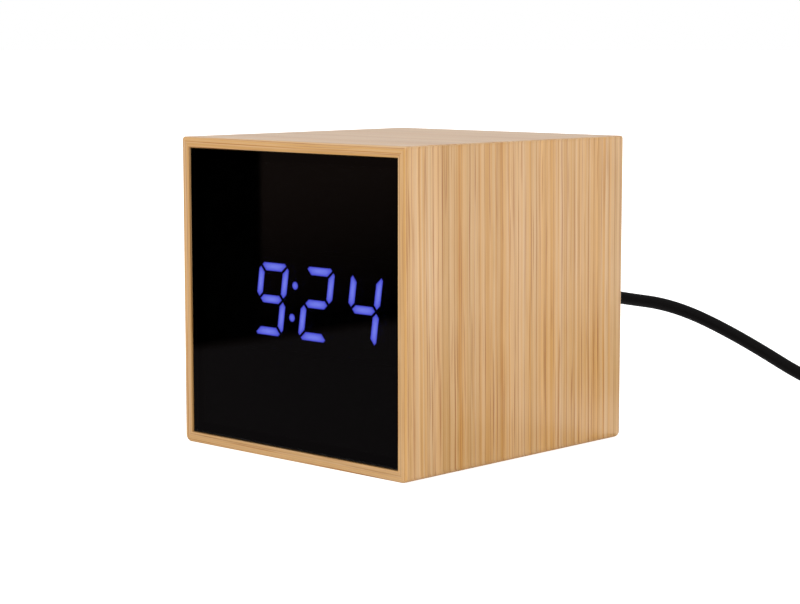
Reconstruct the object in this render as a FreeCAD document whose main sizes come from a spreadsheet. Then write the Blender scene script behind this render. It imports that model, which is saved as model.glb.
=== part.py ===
import FreeCAD, Part
import math
import os
import re
import Sketcher

# Cube alarm clock: a mitred bamboo shell around a smoked window, a four-digit display, two circuit
# boards, a battery bay in the base and a lead that runs from the back to its put-away coil.
# Frame: origin at the centre of the underside, +Z up, -Y towards the window, +X the viewer's right.

doc = FreeCAD.newDocument("CubeAlarmClock")
Vector = FreeCAD.Vector

# Driving sizes in millimetres and degrees: name, value, what it measures
SIZES = (
    # Bamboo shell
    ("panel_thickness", 2.05, "thickness of each bamboo panel"),
    ("upper_corner_radius", 0.6, "sanded round of the two upper mitred edges"),
    ("lower_corner_radius", 1.3, "sanded round of the two lower mitred edges"),
    ("rim_radius", 0.45, "sanded round of the front and rear rims"),
    # Window
    ("window_thickness", 2.0, "smoked acrylic sheet"),
    ("window_recess", 0.3, "window face behind the front rim"),
    ("window_clearance", 0.08, "gap between window and bamboo, each side"),
    ("window_bevel", 0.12, "broken edge of the sheet"),
    ("tape_thickness", 0.25, "double-sided tape behind the window"),
    ("tape_width", 1.8, "width of the tape ring"),
    # Moulded front frame
    ("moulding_clearance", 0.2, "gap between mouldings and bamboo, each side"),
    ("frame_wall", 1.5, "front wall of the frame"),
    ("skirt_thickness", 1.4, "side walls of the frame"),
    ("skirt_depth", 7.0, "length of the side walls"),
    ("pillar_side", 6.4, "square pillars that take the rear cover's screws"),
    ("post_radius", 1.9, "round posts that take a board's screws"),
    ("main_post_side", 3.5, "main board's posts in from its side edges"),
    ("main_post_inset", 2.6, "main board's upper posts in from its upper edge"),
    # Display
    ("module_width", 50.2, "four-digit display body"),
    ("module_height", 19.0, "four-digit display body"),
    ("module_depth", 8.0, "four-digit display body"),
    ("module_clearance", 0.15, "gap around and in front of the display body"),
    ("module_offset", -0.4, "display body, across from the cube's middle"),
    ("module_side_room", 1.25, "gap between the display body and the frame's side walls"),
    ("module_rim", 0.7, "display body beside the outermost digits' fields"),
    ("digit_height", 13.9, "height of a digit"),
    ("digit_width", 8.1, "width of a digit before it slants"),
    ("digit_slant", 8.4, "lean of the digits to the right"),
    ("segment_width", 1.6, "stroke of a segment"),
    ("segment_gap", 0.45, "gap between neighbouring segments"),
    ("segment_tip", 0.45, "cut across a segment's outer tip"),
    ("dot_diameter", 1.55, "colon dot"),
    ("dot_spacing", 6.1, "distance between the colon dots"),
    ("dot_clearance", 0.02, "gap around a colon dot"),
    ("well_depth", 5.0, "depth of the light wells"),
    ("pin_side", 0.5, "square display pin"),
    ("pin_hole", 0.8, "hole in the board for a display pin"),
    ("pin_pitch", 2.54, "distance between pins along a row"),
    ("pin_rows", 15.24, "distance between the two rows of pins"),
    ("pins_per_row", 7, "pins in each row"),
    ("pin_tail", 1.2, "pin standing out of the board's back"),
    # Main board and what stands on its back
    ("board_thickness", 1.6, "main board"),
    ("board_rise", 34.2, "height of both boards"),
    ("board_margin", 0.85, "gap between a board and what stands beside it"),
    ("board_lift", 1.5, "room for the leads between battery case and boards"),
    ("chip_width", 10.0, "clock chip"),
    ("chip_height", 7.5, "clock chip"),
    ("chip_depth", 2.3, "clock chip"),
    ("crystal_width", 11.0, "quartz crystal's can"),
    ("crystal_height", 4.6, "quartz crystal's can"),
    ("crystal_depth", 3.5, "quartz crystal's can"),
    ("capacitor_radius", 2.5, "capacitor"),
    ("capacitor_length", 7.0, "capacitor"),
    ("component_side", 10.0, "crystal and capacitors in from the board's side edges"),
    ("sensor_radius", 1.2, "temperature sensor"),
    ("sensor_length", 2.6, "temperature sensor"),
    ("header_width", 10.0, "socket of the ribbon"),
    ("header_height", 5.6, "socket of the ribbon"),
    ("header_depth", 5.5, "socket of the ribbon"),
    ("header_wall", 0.8, "walls of the ribbon's socket"),
    ("header_inset", 7.0, "ribbon's socket in from the main board's upper edge"),
    ("ribbon_width", 8.0, "ribbon between the boards"),
    ("ribbon_thickness", 0.9, "ribbon between the boards"),
    ("ribbon_drop", 9.0, "height between the ribbon's ends"),
    # Button board
    ("small_board_thickness", 1.2, "button board"),
    ("small_board_width", 39.0, "button board"),
    ("cover_post_side", 4.0, "rear cover's posts in from the board's side edges"),
    ("cover_post_inset", 2.7, "rear cover's posts in from the board's upper and lower edges"),
    ("buzzer_radius", 5.8, "buzzer"),
    ("buzzer_depth", 6.5, "buzzer"),
    ("buzzer_mouth", 1.2, "radius of the hole in the buzzer's face"),
    ("sound_x", 13.0, "buzzer and microphone from the middle"),
    ("sound_drop", 10.4, "buzzer and microphone below the row of buttons"),
    ("microphone_radius", 3.0, "microphone capsule"),
    ("microphone_depth", 2.7, "microphone capsule"),
    # Screws
    ("screw_radius", 1.0, "shank of every screw"),
    ("screw_clearance", 0.05, "gap between a shank and its hole"),
    ("screw_length", 8.0, "rear cover screw, head included"),
    ("short_screw_length", 4.6, "board screw under its head"),
    ("head_radius", 1.9, "screw head"),
    ("head_height", 1.2, "screw head"),
    ("recess_arm", 1.1, "cross recess from the screw's axis"),
    ("recess_width", 0.5, "cross recess"),
    ("recess_depth", 0.7, "cross recess"),
    # Rear cover
    ("cover_thickness", 2.2, "rear cover"),
    ("cover_recess", 1.2, "rear cover inside the rear rim"),
    ("cover_clearance", 0.1, "gap between rear cover and bamboo, each side"),
    ("grille_hole", 0.7, "radius of a sound hole"),
    ("grille_ring", 2.7, "radius of the ring of sound holes"),
    ("grille_count", 6, "sound holes in the ring"),
    ("listening_hole", 0.8, "radius of the microphone's hole"),
    # Buttons and their switches
    ("button_radius", 3.0, "button cap"),
    ("button_proud", 0.9, "button cap above the rear cover"),
    ("button_round", 0.7, "round of the cap's edge"),
    ("button_clearance", 0.08, "gap around the button cap"),
    ("button_spacing", 12.0, "distance between buttons"),
    ("button_inset", 9.5, "row of buttons below the board's upper edge"),
    ("flange_radius", 4.0, "collar that keeps a button in"),
    ("flange_thickness", 1.0, "collar that keeps a button in"),
    ("contact_gap", 0.05, "gap between pieces that touch lightly"),
    ("switch_side", 6.0, "square body of a switch"),
    ("switch_depth", 3.5, "body of a switch above its board"),
    ("switch_reach", 8.0, "switch from its board to the plunger's tip"),
    ("switch_floor", 0.7, "bottom of a switch"),
    ("plunger_radius", 1.7, "plunger of a switch"),
    ("plunger_clearance", 0.08, "gap around the plunger"),
    ("plunger_seat", 1.6, "plunger's inner end above the board"),
    # Power socket and its plug
    ("socket_inset", 7.7, "power socket above the board's lower edge"),
    ("socket_width", 7.0, "power socket body"),
    ("socket_height", 6.6, "power socket body"),
    ("socket_floor", 0.8, "wall behind the socket's bore"),
    ("barrel_radius", 1.75, "plug barrel, outside"),
    ("barrel_bore", 0.75, "plug barrel, inside"),
    ("barrel_clearance", 0.08, "gap around the barrel and inside it"),
    ("barrel_length", 8.0, "plug barrel"),
    ("nose_radius", 3.8, "plug grip where it enters the rear cover"),
    ("nose_clearance", 0.4, "gap around the plug's nose"),
    ("nose_gap", 0.3, "gap between the socket's mouth and the plug's nose"),
    ("grip_radius", 4.3, "plug grip"),
    ("grip_length", 14.0, "plug grip outside the rear cover"),
    ("grip_round", 0.5, "rounded shoulders of the plug grip"),
    ("relief_length", 9.0, "bend relief of the power plug"),
    ("relief_radius", 2.7, "bend relief at the grip"),
    ("relief_skin", 0.35, "bend relief around the lead at its end"),
    # Battery bay
    ("cell_diameter", 10.5, "battery cell"),
    ("cell_length", 44.5, "battery cell with its button"),
    ("cell_button_radius", 1.9, "cell's positive button"),
    ("cell_button_height", 0.9, "cell's positive button"),
    ("cell_bevel", 0.4, "rolled edge of a cell"),
    ("cell_gap", 0.5, "gap between neighbouring cells"),
    ("cell_play", 0.4, "gap between cells and the bay"),
    ("bay_wall", 1.2, "battery case walls"),
    ("bay_roof", 1.4, "battery case roof"),
    ("bay_front_gap", 1.45, "gap between the front frame and the battery case"),
    ("bay_rear_gap", 1.1, "gap between the battery case and the rear cover"),
    ("bay_rib", 0.8, "rib between cells"),
    ("bay_rib_height", 2.6, "rib between cells"),
    ("ledge_width", 1.8, "ledge that rests on the base"),
    ("ledge_gap", 1.7, "gap between a ledge and the pillar beside it"),
    ("ledge_thickness", 1.0, "ledge that rests on the base"),
    ("ledge_length", 38.0, "ledge that rests on the base"),
    ("contact_sheet", 0.4, "contact plates"),
    ("contact_side", 8.0, "contact plates"),
    ("contact_tab", 2.0, "solder tab of a contact plate"),
    ("contact_tab_rise", 2.2, "solder tab above the roof"),
    ("spring_depth", 4.2, "room for a leaf spring behind its cell"),
    ("spring_sheet", 0.3, "leaf spring"),
    ("spring_span", 7.4, "leaf spring across its feet"),
    ("spring_width", 4.5, "leaf spring"),
    # Battery door
    ("door_thickness", 1.8, "battery door"),
    ("door_recess", 0.3, "door's face above the underside"),
    ("door_clearance", 0.2, "gap around the door"),
    ("hinge_tab_width", 5.0, "hinge tab of the door"),
    ("hinge_tab_spread", 18.0, "distance between the hinge tabs"),
    ("hinge_tab_thickness", 0.8, "hinge tab of the door"),
    ("hinge_tab_reach", 1.0, "hinge tab inside the case's wall"),
    ("hinge_slot_rise", 2.4, "height of a tab's slot"),
    ("latch_width", 9.0, "springy tongue of the door"),
    ("latch_length", 9.0, "springy tongue of the door"),
    ("latch_slit", 0.8, "slit beside the tongue"),
    ("nib_reach", 0.6, "catch on the tongue"),
    ("nib_height", 0.7, "catch on the tongue"),
    ("scoop_radius", 3.0, "finger scoop in the tongue"),
    ("scoop_depth", 0.7, "finger scoop in the tongue"),
    # Battery leads
    ("wire_radius", 0.6, "battery lead with its jacket"),
    ("wire_lift", 0.1, "battery lead above the case's roof"),
    ("wire_rise", 9.0, "battery lead where it turns to the board, above the roof"),
    ("wire_reach", 7.5, "battery lead's last run to the board"),
    # Power lead
    ("lead_diameter", 2.8, "power lead"),
    ("turn_gap", 0.5, "gap between the coil's turns"),
    ("coil_turns", 9.5, "turns of the put-away coil"),
    ("coil_layers", 4, "layers of the put-away coil"),
    ("coil_mean_radius", 14.4, "coil at the middle of its turns"),
    ("coil_x", 72.0, "middle of the coil, across"),
    ("coil_y", 75.0, "middle of the coil, front to back"),
    ("climb_turns", 0.5, "part of a turn in which the lead changes layer"),
    ("tail_turns", 0.75, "part of a turn in which the lead comes down to its plug"),
    ("tail_spread_turns", 0.3, "part of a turn in which the tail moves out"),
    ("tie_thickness", 0.4, "flat tie around the coil"),
    ("tie_width", 4.0, "flat tie around the coil"),
    ("tie_clearance", 0.06, "gap between the tie and the turns"),
    ("tie_angle", -45.0, "where the tie goes round the coil"),
    # Far plug
    ("usb_width", 15.4, "grip of the far plug"),
    ("usb_thickness", 7.8, "grip of the far plug"),
    ("usb_grip_length", 22.0, "grip of the far plug"),
    ("usb_grip_round", 2.2, "rounded edges of the grip"),
    ("usb_relief_length", 13.5, "bend relief of the far plug"),
    ("usb_relief_radius", 3.0, "bend relief at the grip"),
    ("shell_width", 12.0, "steel shell of the far plug"),
    ("shell_height", 4.5, "steel shell of the far plug"),
    ("shell_length", 12.0, "steel shell of the far plug"),
    ("shell_sheet", 0.35, "steel sheet"),
    ("tongue_thickness", 1.9, "insulating tongue in the shell"),
    ("tongue_setback", 0.5, "tongue behind the shell's mouth"),
)

# Sizes that follow from the driving ones: name, formula, what it measures
LAYOUT = (
    ("cell_pitch", "cell_diameter + cell_gap", "distance between cells"),
    ("bay_inner_width", "2 * cell_pitch + cell_diameter + 2 * cell_play", "battery bay"),
    ("bay_width", "bay_inner_width + 2 * bay_wall", "battery case"),
    ("bay_inner_length", "cell_length + spring_depth + 2 * contact_sheet + 2 * contact_gap", "battery bay"),
    ("bay_length", "bay_inner_length + 2 * bay_wall", "battery case, front to back"),
    ("door_top", "door_recess + door_thickness", "door's inner face"),
    ("cell_z", "door_top + cell_play + cell_diameter / 2", "cells' axes"),
    ("bay_ceiling", "cell_z + cell_diameter / 2 + cell_play", "battery bay's ceiling"),
    ("bay_top", "bay_ceiling + bay_roof", "battery case's roof"),
    ("half_display", "module_width / 2 + module_side_room + skirt_thickness", "frame round the display"),
    ("half_bay", "bay_width / 2 + ledge_width + ledge_gap + pillar_side", "frame round the battery case"),
    ("case_width", "2 * (max(half_display; half_bay) + moulding_clearance + panel_thickness)",
     "outer width of the cube"),
    ("board_low", "bay_top + board_lift", "lower edge of both boards"),
    ("board_high", "board_low + board_rise", "upper edge of both boards"),
    ("case_height", "board_high + board_margin + pillar_side + moulding_clearance + panel_thickness",
     "outer height of the cube"),
    ("front_stack", "window_recess + window_thickness + tape_thickness + frame_wall",
     "from the front rim to the back of the frame's wall"),
    ("case_depth", "front_stack + bay_front_gap + bay_length + bay_rear_gap + cover_thickness + cover_recess",
     "outer depth of the cube, front to back"),
    ("inner_width", "case_width - 2 * panel_thickness", "room between the side panels"),
    ("inner_height", "case_height - 2 * panel_thickness", "room between base and top"),
    ("middle_z", "case_height / 2", "middle of the cube"),
    ("window_front", "-case_depth / 2 + window_recess", "window's face"),
    ("window_back", "window_front + window_thickness", "window's inner face"),
    ("frame_front", "window_back + tape_thickness", "frame's face"),
    ("frame_back", "frame_front + frame_wall", "back of the frame's wall"),
    ("frame_width", "inner_width - 2 * moulding_clearance", "frame, outside"),
    ("frame_height", "inner_height - 2 * moulding_clearance", "frame, outside"),
    ("frame_low", "middle_z - frame_height / 2", "frame's lower edge"),
    ("module_front", "window_back + module_clearance", "display's face"),
    ("module_back", "module_front + module_depth", "display's back"),
    ("board_back", "module_back + board_thickness", "main board's back"),
    ("cover_outer", "case_depth / 2 - cover_recess", "rear cover's outer face"),
    ("cover_inner", "cover_outer - cover_thickness", "rear cover's inner face"),
    ("pillar_x", "(frame_width - pillar_side) / 2", "pillars from the middle"),
    ("pillar_rise", "(frame_height - pillar_side) / 2", "pillars from the middle"),
    ("button_seat", "cover_inner - contact_gap", "collar's outer face"),
    ("button_foot", "button_seat - flange_thickness", "button's inner face"),
    ("plunger_tip", "button_foot - contact_gap", "plunger's tip"),
    ("small_board_face", "plunger_tip - switch_reach", "button board's face"),
    ("small_board_back", "small_board_face - small_board_thickness", "button board's far face"),
    ("socket_mouth", "cover_inner - 2 * contact_gap", "power socket's mouth"),
    ("nose_face", "socket_mouth + nose_gap", "face of the plug's nose"),
    ("grip_start", "cover_outer + contact_gap", "plug grip outside the cover"),
    ("relief_start", "grip_start + grip_length", "power plug's bend relief"),
    ("lead_start", "relief_start + relief_length", "where the lead leaves its plug"),
    ("bay_front", "frame_back + bay_front_gap", "battery case's front"),
    ("bay_back", "bay_front + bay_length", "battery case's back"),
    ("bay_middle", "bay_front + bay_length / 2", "battery case's middle"),
    ("bay_inner_front", "bay_front + bay_wall", "battery bay's front"),
    ("bay_inner_back", "bay_back - bay_wall", "battery bay's back"),
    ("board_width", "frame_width - 2 * skirt_thickness - 2 * board_margin", "main board"),
    ("main_post_spread", "board_width - 2 * main_post_side", "distance between the main board's posts"),
    ("main_post_low", "middle_z - module_height / 2 - module_clearance - post_radius", "lower posts"),
    ("main_post_high", "board_high - main_post_inset", "upper posts"),
    ("component_x", "board_width / 2 - component_side", "crystal and capacitors from the middle"),
    ("digit_pitch", "(module_width - 2 * module_rim) / 4", "distance between digits"),
    ("header_z", "board_high - header_inset", "ribbon's socket on the main board"),
    ("cover_post_spread", "small_board_width - 2 * cover_post_side", "distance between the cover's posts"),
    ("button_z", "board_high - button_inset", "height of the row of buttons"),
    ("sound_z", "button_z - sound_drop", "height of buzzer and microphone"),
    ("socket_z", "board_low + socket_inset", "height of the power socket"),
    ("door_front", "bay_inner_front + door_clearance", "door's hinge edge"),
    ("door_back", "bay_inner_back - door_clearance", "door's latch edge"),
    ("door_width", "bay_inner_width - 2 * door_clearance", "door"),
    ("hinge_y", "door_front + door_thickness / 2", "door's hinge line"),
    ("hinge_z", "door_recess + door_thickness / 2", "door's hinge line"),
    ("wire_z", "bay_top + wire_radius + wire_lift", "battery leads along the roof"),
    ("lead_radius", "lead_diameter / 2", "power lead"),
    ("turn_pitch", "lead_diameter + turn_gap", "distance between turns"),
    ("layer_turns", "coil_turns / coil_layers", "turns in a layer"),
    ("coil_outer", "coil_mean_radius + layer_turns * turn_pitch / 2", "outermost turn"),
    ("coil_z", "tie_thickness + contact_gap + lead_radius", "lowest layer"),
    ("coil_entry", "coil_y + coil_outer", "where the lead meets its coil"),
    ("usb_x", "coil_x + coil_outer + turn_pitch", "far plug's axis"),
    ("usb_z", "usb_thickness / 2", "far plug's axis"),
    ("usb_relief_end", "coil_y - lead_diameter", "far plug's bend relief"),
    ("usb_grip_end", "usb_relief_end - usb_relief_length", "far plug's grip"),
    ("usb_grip_start", "usb_grip_end - usb_grip_length", "far plug's shell"),
)

SIZE_NAMES = [row[0] for row in SIZES]
LAYOUT_NAMES = [row[0] for row in LAYOUT]


def rule(text, within_layout=False):
    """A formula in the names above, written the way an expression refers to the sheets."""
    def full_name(match):
        word = match.group(0)
        if word in SIZE_NAMES:
            return "Sizes." + word
        if word in LAYOUT_NAMES and not within_layout:
            return "Layout." + word
        return word
    return re.sub(r"[a-z_]+", full_name, text)


def fill_sheet(label, rows, to_cell):
    """One sheet with a row for each size: name, value and note, the value's cell named after it."""
    sheet = doc.addObject("Spreadsheet::Sheet", label)
    for number, (name, value, note) in enumerate(rows, start=1):
        sheet.set("A%d" % number, name)
        sheet.set("B%d" % number, to_cell(value))
        sheet.setAlias("B%d" % number, name)
        sheet.set("C%d" % number, note)
    doc.recompute()
    return sheet


sizes = fill_sheet("Sizes", SIZES, str)
layout = fill_sheet("Layout", LAYOUT, lambda formula: "=" + rule(formula, within_layout=True))


def mm(name):
    """The present value of a named size."""
    sheet = sizes if name in SIZE_NAMES else layout
    return float(sheet.get(name))


# Building helpers


def bind(item, **rules):
    """Ties properties of an object to formulas."""
    for prop, text in rules.items():
        item.setExpression(prop, rule(text))
    return item


def place(item, x="0", y="0", z="0"):
    """Ties an object's position to formulas."""
    for axis, text in zip("xyz", (x, y, z)):
        item.setExpression("Placement.Base." + axis, rule(text))
    return item


def block(name, size, centre_x, front_y, low_z):
    """A box centred across on centre_x, starting at front_y and standing on low_z."""
    item = doc.addObject("Part::Box", name)
    bind(item, Length=size[0], Width=size[1], Height=size[2])
    return place(item, "(%s) - (%s) / 2" % (centre_x, size[0]), front_y, low_z)


def rod(name, radius, length, x, y, z, towards=Vector(0, 1, 0)):
    """A round bar that starts at x, y, z and runs to the back unless told otherwise."""
    item = doc.addObject("Part::Cylinder", name)
    bind(item, Radius=radius, Height=length)
    item.Placement.Rotation = FreeCAD.Rotation(Vector(0, 0, 1), towards)
    return place(item, x, y, z)


def fuse(name, *items):
    """Several solids made one."""
    item = doc.addObject("Part::MultiFuse", name)
    item.Shapes = list(items)
    item.Refine = True
    return item


def cut(name, base, *tools):
    """One solid less the others."""
    item = doc.addObject("Part::Cut", name)
    item.Base = base
    item.Tool = tools[0] if len(tools) == 1 else fuse(name + "_tools", *tools)
    item.Refine = True
    return item


def group(name, items):
    """Separate solids kept together as one piece."""
    item = doc.addObject("Part::Compound", name)
    item.Links = list(items)
    return item


def made(name, shape):
    """A piece whose shape is worked out here, from sizes read in the sheets."""
    item = doc.addObject("Part::Feature", name)
    item.Shape = shape
    item.Placement = FreeCAD.Placement()
    return item


def body(name):
    return doc.addObject("PartDesign::Body", name)


def sketch(owner, name, plane="XZ_Plane"):
    """A sketch on one of its body's origin planes; the front view unless told otherwise."""
    item = owner.newObject("Sketcher::SketchObject", name)
    support = [part for part in owner.Origin.OriginFeatures if part.Role == plane]
    item.AttachmentSupport = [(support[0], "")]
    item.MapMode = "FlatFace"
    return item


def tie_point(drawing, number, vertex, at, label, spot):
    """Ties one point of a sketch to a pair of formulas."""
    for kind, text, value in zip(("DistanceX", "DistanceY"), at, spot):
        rank = drawing.addConstraint(Sketcher.Constraint(kind, -1, 1, number, vertex, value))
        name = "%s%d_%s" % (label, number, kind[-1].lower())
        drawing.renameConstraint(rank, name)
        drawing.setExpression("Constraints." + name, rule(text))


def outline(drawing, corners):
    """A closed outline whose corners are pairs of formulas."""
    first = drawing.GeometryCount
    count = len(corners)
    loose = [Vector(math.cos(2 * math.pi * k / count), math.sin(2 * math.pi * k / count), 0)
             for k in range(count)]
    for k in range(count):
        drawing.addGeometry(Part.LineSegment(loose[k], loose[(k + 1) % count]), False)
    for k in range(count):
        drawing.addConstraint(
            Sketcher.Constraint("Coincident", first + k, 2, first + (k + 1) % count, 1))
    for k, corner in enumerate(corners):
        tie_point(drawing, first + k, 1, corner, "corner", (loose[k].x, loose[k].y))


def rectangle(drawing, u, v, width, height):
    """A rectangle centred on u, v."""
    left, right = ["(%s) %s (%s) / 2" % (u, sign, width) for sign in "-+"]
    low, high = ["(%s) %s (%s) / 2" % (v, sign, height) for sign in "-+"]
    outline(drawing, [(left, low), (right, low), (right, high), (left, high)])


def circle(drawing, u, v, radius):
    """A circle centred on u, v."""
    number = drawing.addGeometry(Part.Circle(Vector(1, 1, 0), Vector(0, 0, 1), 1), False)
    tie_point(drawing, number, 3, (u, v), "centre", (1, 1))
    rank = drawing.addConstraint(Sketcher.Constraint("Radius", number, 1))
    drawing.renameConstraint(rank, "radius%d" % number)
    drawing.setExpression("Constraints.radius%d" % number, rule(radius))


def pad(owner, drawing, length, start="0"):
    """Grows a front-view sketch to the back from the depth start."""
    drawing.setExpression("AttachmentOffset.Base.z", rule("-(%s)" % start))
    item = owner.newObject("PartDesign::Pad", drawing.Name + "_pad")
    item.Profile = drawing
    item.Reversed = True
    return bind(item, Length=length)


def pocket(owner, drawing, length, start, to_back):
    """Cuts a front-view sketch into its body from the depth start."""
    drawing.setExpression("AttachmentOffset.Base.z", rule("-(%s)" % start))
    item = owner.newObject("PartDesign::Pocket", drawing.Name + "_pocket")
    item.Profile = drawing
    item.Reversed = not to_back
    return bind(item, Length=length)


def dress(owner, kind, test, **bound):
    """A fillet or chamfer on the edges of a body's last shape that pass the test."""
    doc.recompute()
    base = owner.Tip
    names = ["Edge%d" % (k + 1) for k, edge in enumerate(base.Shape.Edges) if test(edge)]
    item = owner.newObject("PartDesign::" + kind, "%s_%s" % (base.Name, kind.lower()))
    item.Base = (base, names)
    return bind(item, **bound)


def at_depth(edge, *depths):
    """Whether an edge lies wholly at one of the depths."""
    box = edge.BoundBox
    return any(abs(box.YMin - depth) < 1e-4 and abs(box.YMax - depth) < 1e-4 for depth in depths)


def runs_to_back(edge):
    return edge.BoundBox.YLength > 1


def turned(name, profile, x="0", z="0"):
    """A round piece on a front-to-back axis: profile gives pairs of radius and depth."""
    owner = body(name)
    drawing = sketch(owner, name + "_profile", "XY_Plane")
    outline(drawing, profile)
    item = owner.newObject("PartDesign::Revolution", name + "_turned")
    item.Profile = drawing
    item.ReferenceAxis = (drawing, ["V_Axis"])
    item.Angle = 360
    return place(owner, x, "0", z)


def plate(name, width, height, depth, x, start, z):
    """A body padded from a rectangle centred on x and z, front face at the depth start."""
    owner = body(name)
    drawing = sketch(owner, name + "_outline")
    rectangle(drawing, x, z, width, height)
    pad(owner, drawing, depth, start)
    return owner


def screw(name, x, z, face, way, length, sunk):
    """A screw whose head rests at the depth face; its shank runs to the back when way is 1.

    The sunk ones show at the back and have a cross recess.
    """
    if sunk:
        top = "0"
        head = [("head_radius", "0"), ("head_radius", "0.15"), ("screw_radius", "head_height * 0.75")]
    else:
        top = "-head_height"
        head = [("head_radius * 0.72", top), ("head_radius", "-head_height / 2"), ("head_radius", "0"),
                ("screw_radius", "0")]
    shank = [("screw_radius", "(%s) - 0.6" % length), ("screw_radius / 2", length), ("0", length)]
    profile = [(radius, "(%s) + %d * (%s)" % (face, way, depth))
               for radius, depth in [("0", top)] + head + shank]
    owner = turned(name, profile, x, z)
    if not sunk:
        return owner
    arm, half = "recess_arm", "recess_width / 2"
    quarter = [(arm, half), (half, half), (half, arm)]
    corners = []
    for u_sign, v_sign in ((1, 1), (-1, 1), (-1, -1), (1, -1)):
        piece = [("%d * (%s)" % (u_sign, u), "%d * (%s)" % (v_sign, v)) for u, v in quarter]
        corners += piece if u_sign == v_sign else piece[::-1]
    cross = sketch(owner, name + "_cross")
    outline(cross, corners)
    pocket(owner, cross, "recess_depth", "(%s) + %d * (%s)" % (face, way, top), way == 1)
    return owner


# Bamboo shell: one glued ring, rounded as it is sanded, then parted at its mitres


def shell_ring():
    owner = body("shell_ring")
    drawing = sketch(owner, "ring_outline")
    rectangle(drawing, "0", "middle_z", "case_width", "case_height")
    rectangle(drawing, "0", "middle_z", "inner_width", "inner_height")
    pad(owner, drawing, "case_depth", "-case_depth / 2")
    half_width, half_depth = mm("case_width") / 2, mm("case_depth") / 2

    def is_corner(edge, upper):
        box = edge.BoundBox
        return (box.YLength > half_depth and abs(abs(box.Center.x) - half_width) < 1e-4
                and (box.Center.z > mm("middle_z")) == upper)

    dress(owner, "Fillet", lambda edge: is_corner(edge, True), Radius="upper_corner_radius")
    dress(owner, "Fillet", lambda edge: is_corner(edge, False), Radius="lower_corner_radius")

    def is_rim(edge):
        centre = edge.BoundBox.Center
        outside = (abs(centre.x) > mm("inner_width") / 2 + 1e-3
                   or abs(centre.z - mm("middle_z")) > mm("inner_height") / 2 + 1e-3)
        return outside and at_depth(edge, -half_depth, half_depth)

    dress(owner, "Fillet", is_rim, Radius="rim_radius")
    return owner


def panels():
    """The four panels; the base has the battery case's opening."""
    ring = shell_ring()
    far = {"left": "-case_width / 2 - 1", "right": "case_width / 2 + 1",
           "low": "-1", "high": "case_height + 1"}
    near = {"left": "-case_width / 2 + panel_thickness + 1",
            "right": "case_width / 2 - panel_thickness - 1",
            "low": "panel_thickness + 1", "high": "case_height - panel_thickness - 1"}
    ends = {"top": (("left", "high"), ("right", "high")), "bottom": (("left", "low"), ("right", "low")),
            "left": (("left", "low"), ("left", "high")), "right": (("right", "low"), ("right", "high"))}
    pieces = {}
    for side, ((u1, v1), (u2, v2)) in ends.items():
        wedge = body(side + "_wedge")
        drawing = sketch(wedge, side + "_wedge_outline")
        outline(drawing, [(far[u1], far[v1]), (far[u2], far[v2]),
                          (near[u2], near[v2]), (near[u1], near[v1])])
        pad(wedge, drawing, "case_depth + 2", "-case_depth / 2 - 1")
        panel = doc.addObject("Part::Common", "bottom_blank" if side == "bottom" else side + "_panel")
        panel.Base = ring
        panel.Tool = wedge
        pieces[side] = panel
    opening = block("bay_opening", ("bay_width + 2 * contact_gap", "bay_length + 2 * contact_gap",
                                    "2 * panel_thickness"),
                    "0", "bay_front - contact_gap", "-panel_thickness / 2")
    pieces["bottom"] = cut("bottom_panel", pieces["bottom"], opening)
    return list(pieces.values())


# Window, tape and the moulded frame behind them


def front_window():
    owner = plate("front_window", "inner_width - 2 * window_clearance", "inner_height - 2 * window_clearance",
                  "window_thickness", "0", "window_front", "middle_z")
    front = mm("window_front")
    dress(owner, "Chamfer", lambda edge: at_depth(edge, front), Size="window_bevel")
    return owner


def window_tape():
    owner = body("window_tape")
    drawing = sketch(owner, "tape_outline")
    rectangle(drawing, "0", "middle_z", "frame_width", "frame_height")
    rectangle(drawing, "0", "middle_z", "frame_width - 2 * tape_width", "frame_height - 2 * tape_width")
    pad(owner, drawing, "tape_thickness", "window_back")
    return owner


def four_places(spread, low, high):
    """Left and right, low and high: centres of four posts or screws as formulas."""
    return [("%d * (%s) / 2" % (side, spread), height) for side in (-1, 1) for height in (low, high)]


PILLARS = four_places("2 * pillar_x", "middle_z - pillar_rise", "middle_z + pillar_rise")
MAIN_POSTS = four_places("main_post_spread", "main_post_low", "main_post_high")
COVER_POSTS = four_places("cover_post_spread", "board_low + cover_post_inset",
                          "board_high - cover_post_inset")


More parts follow.
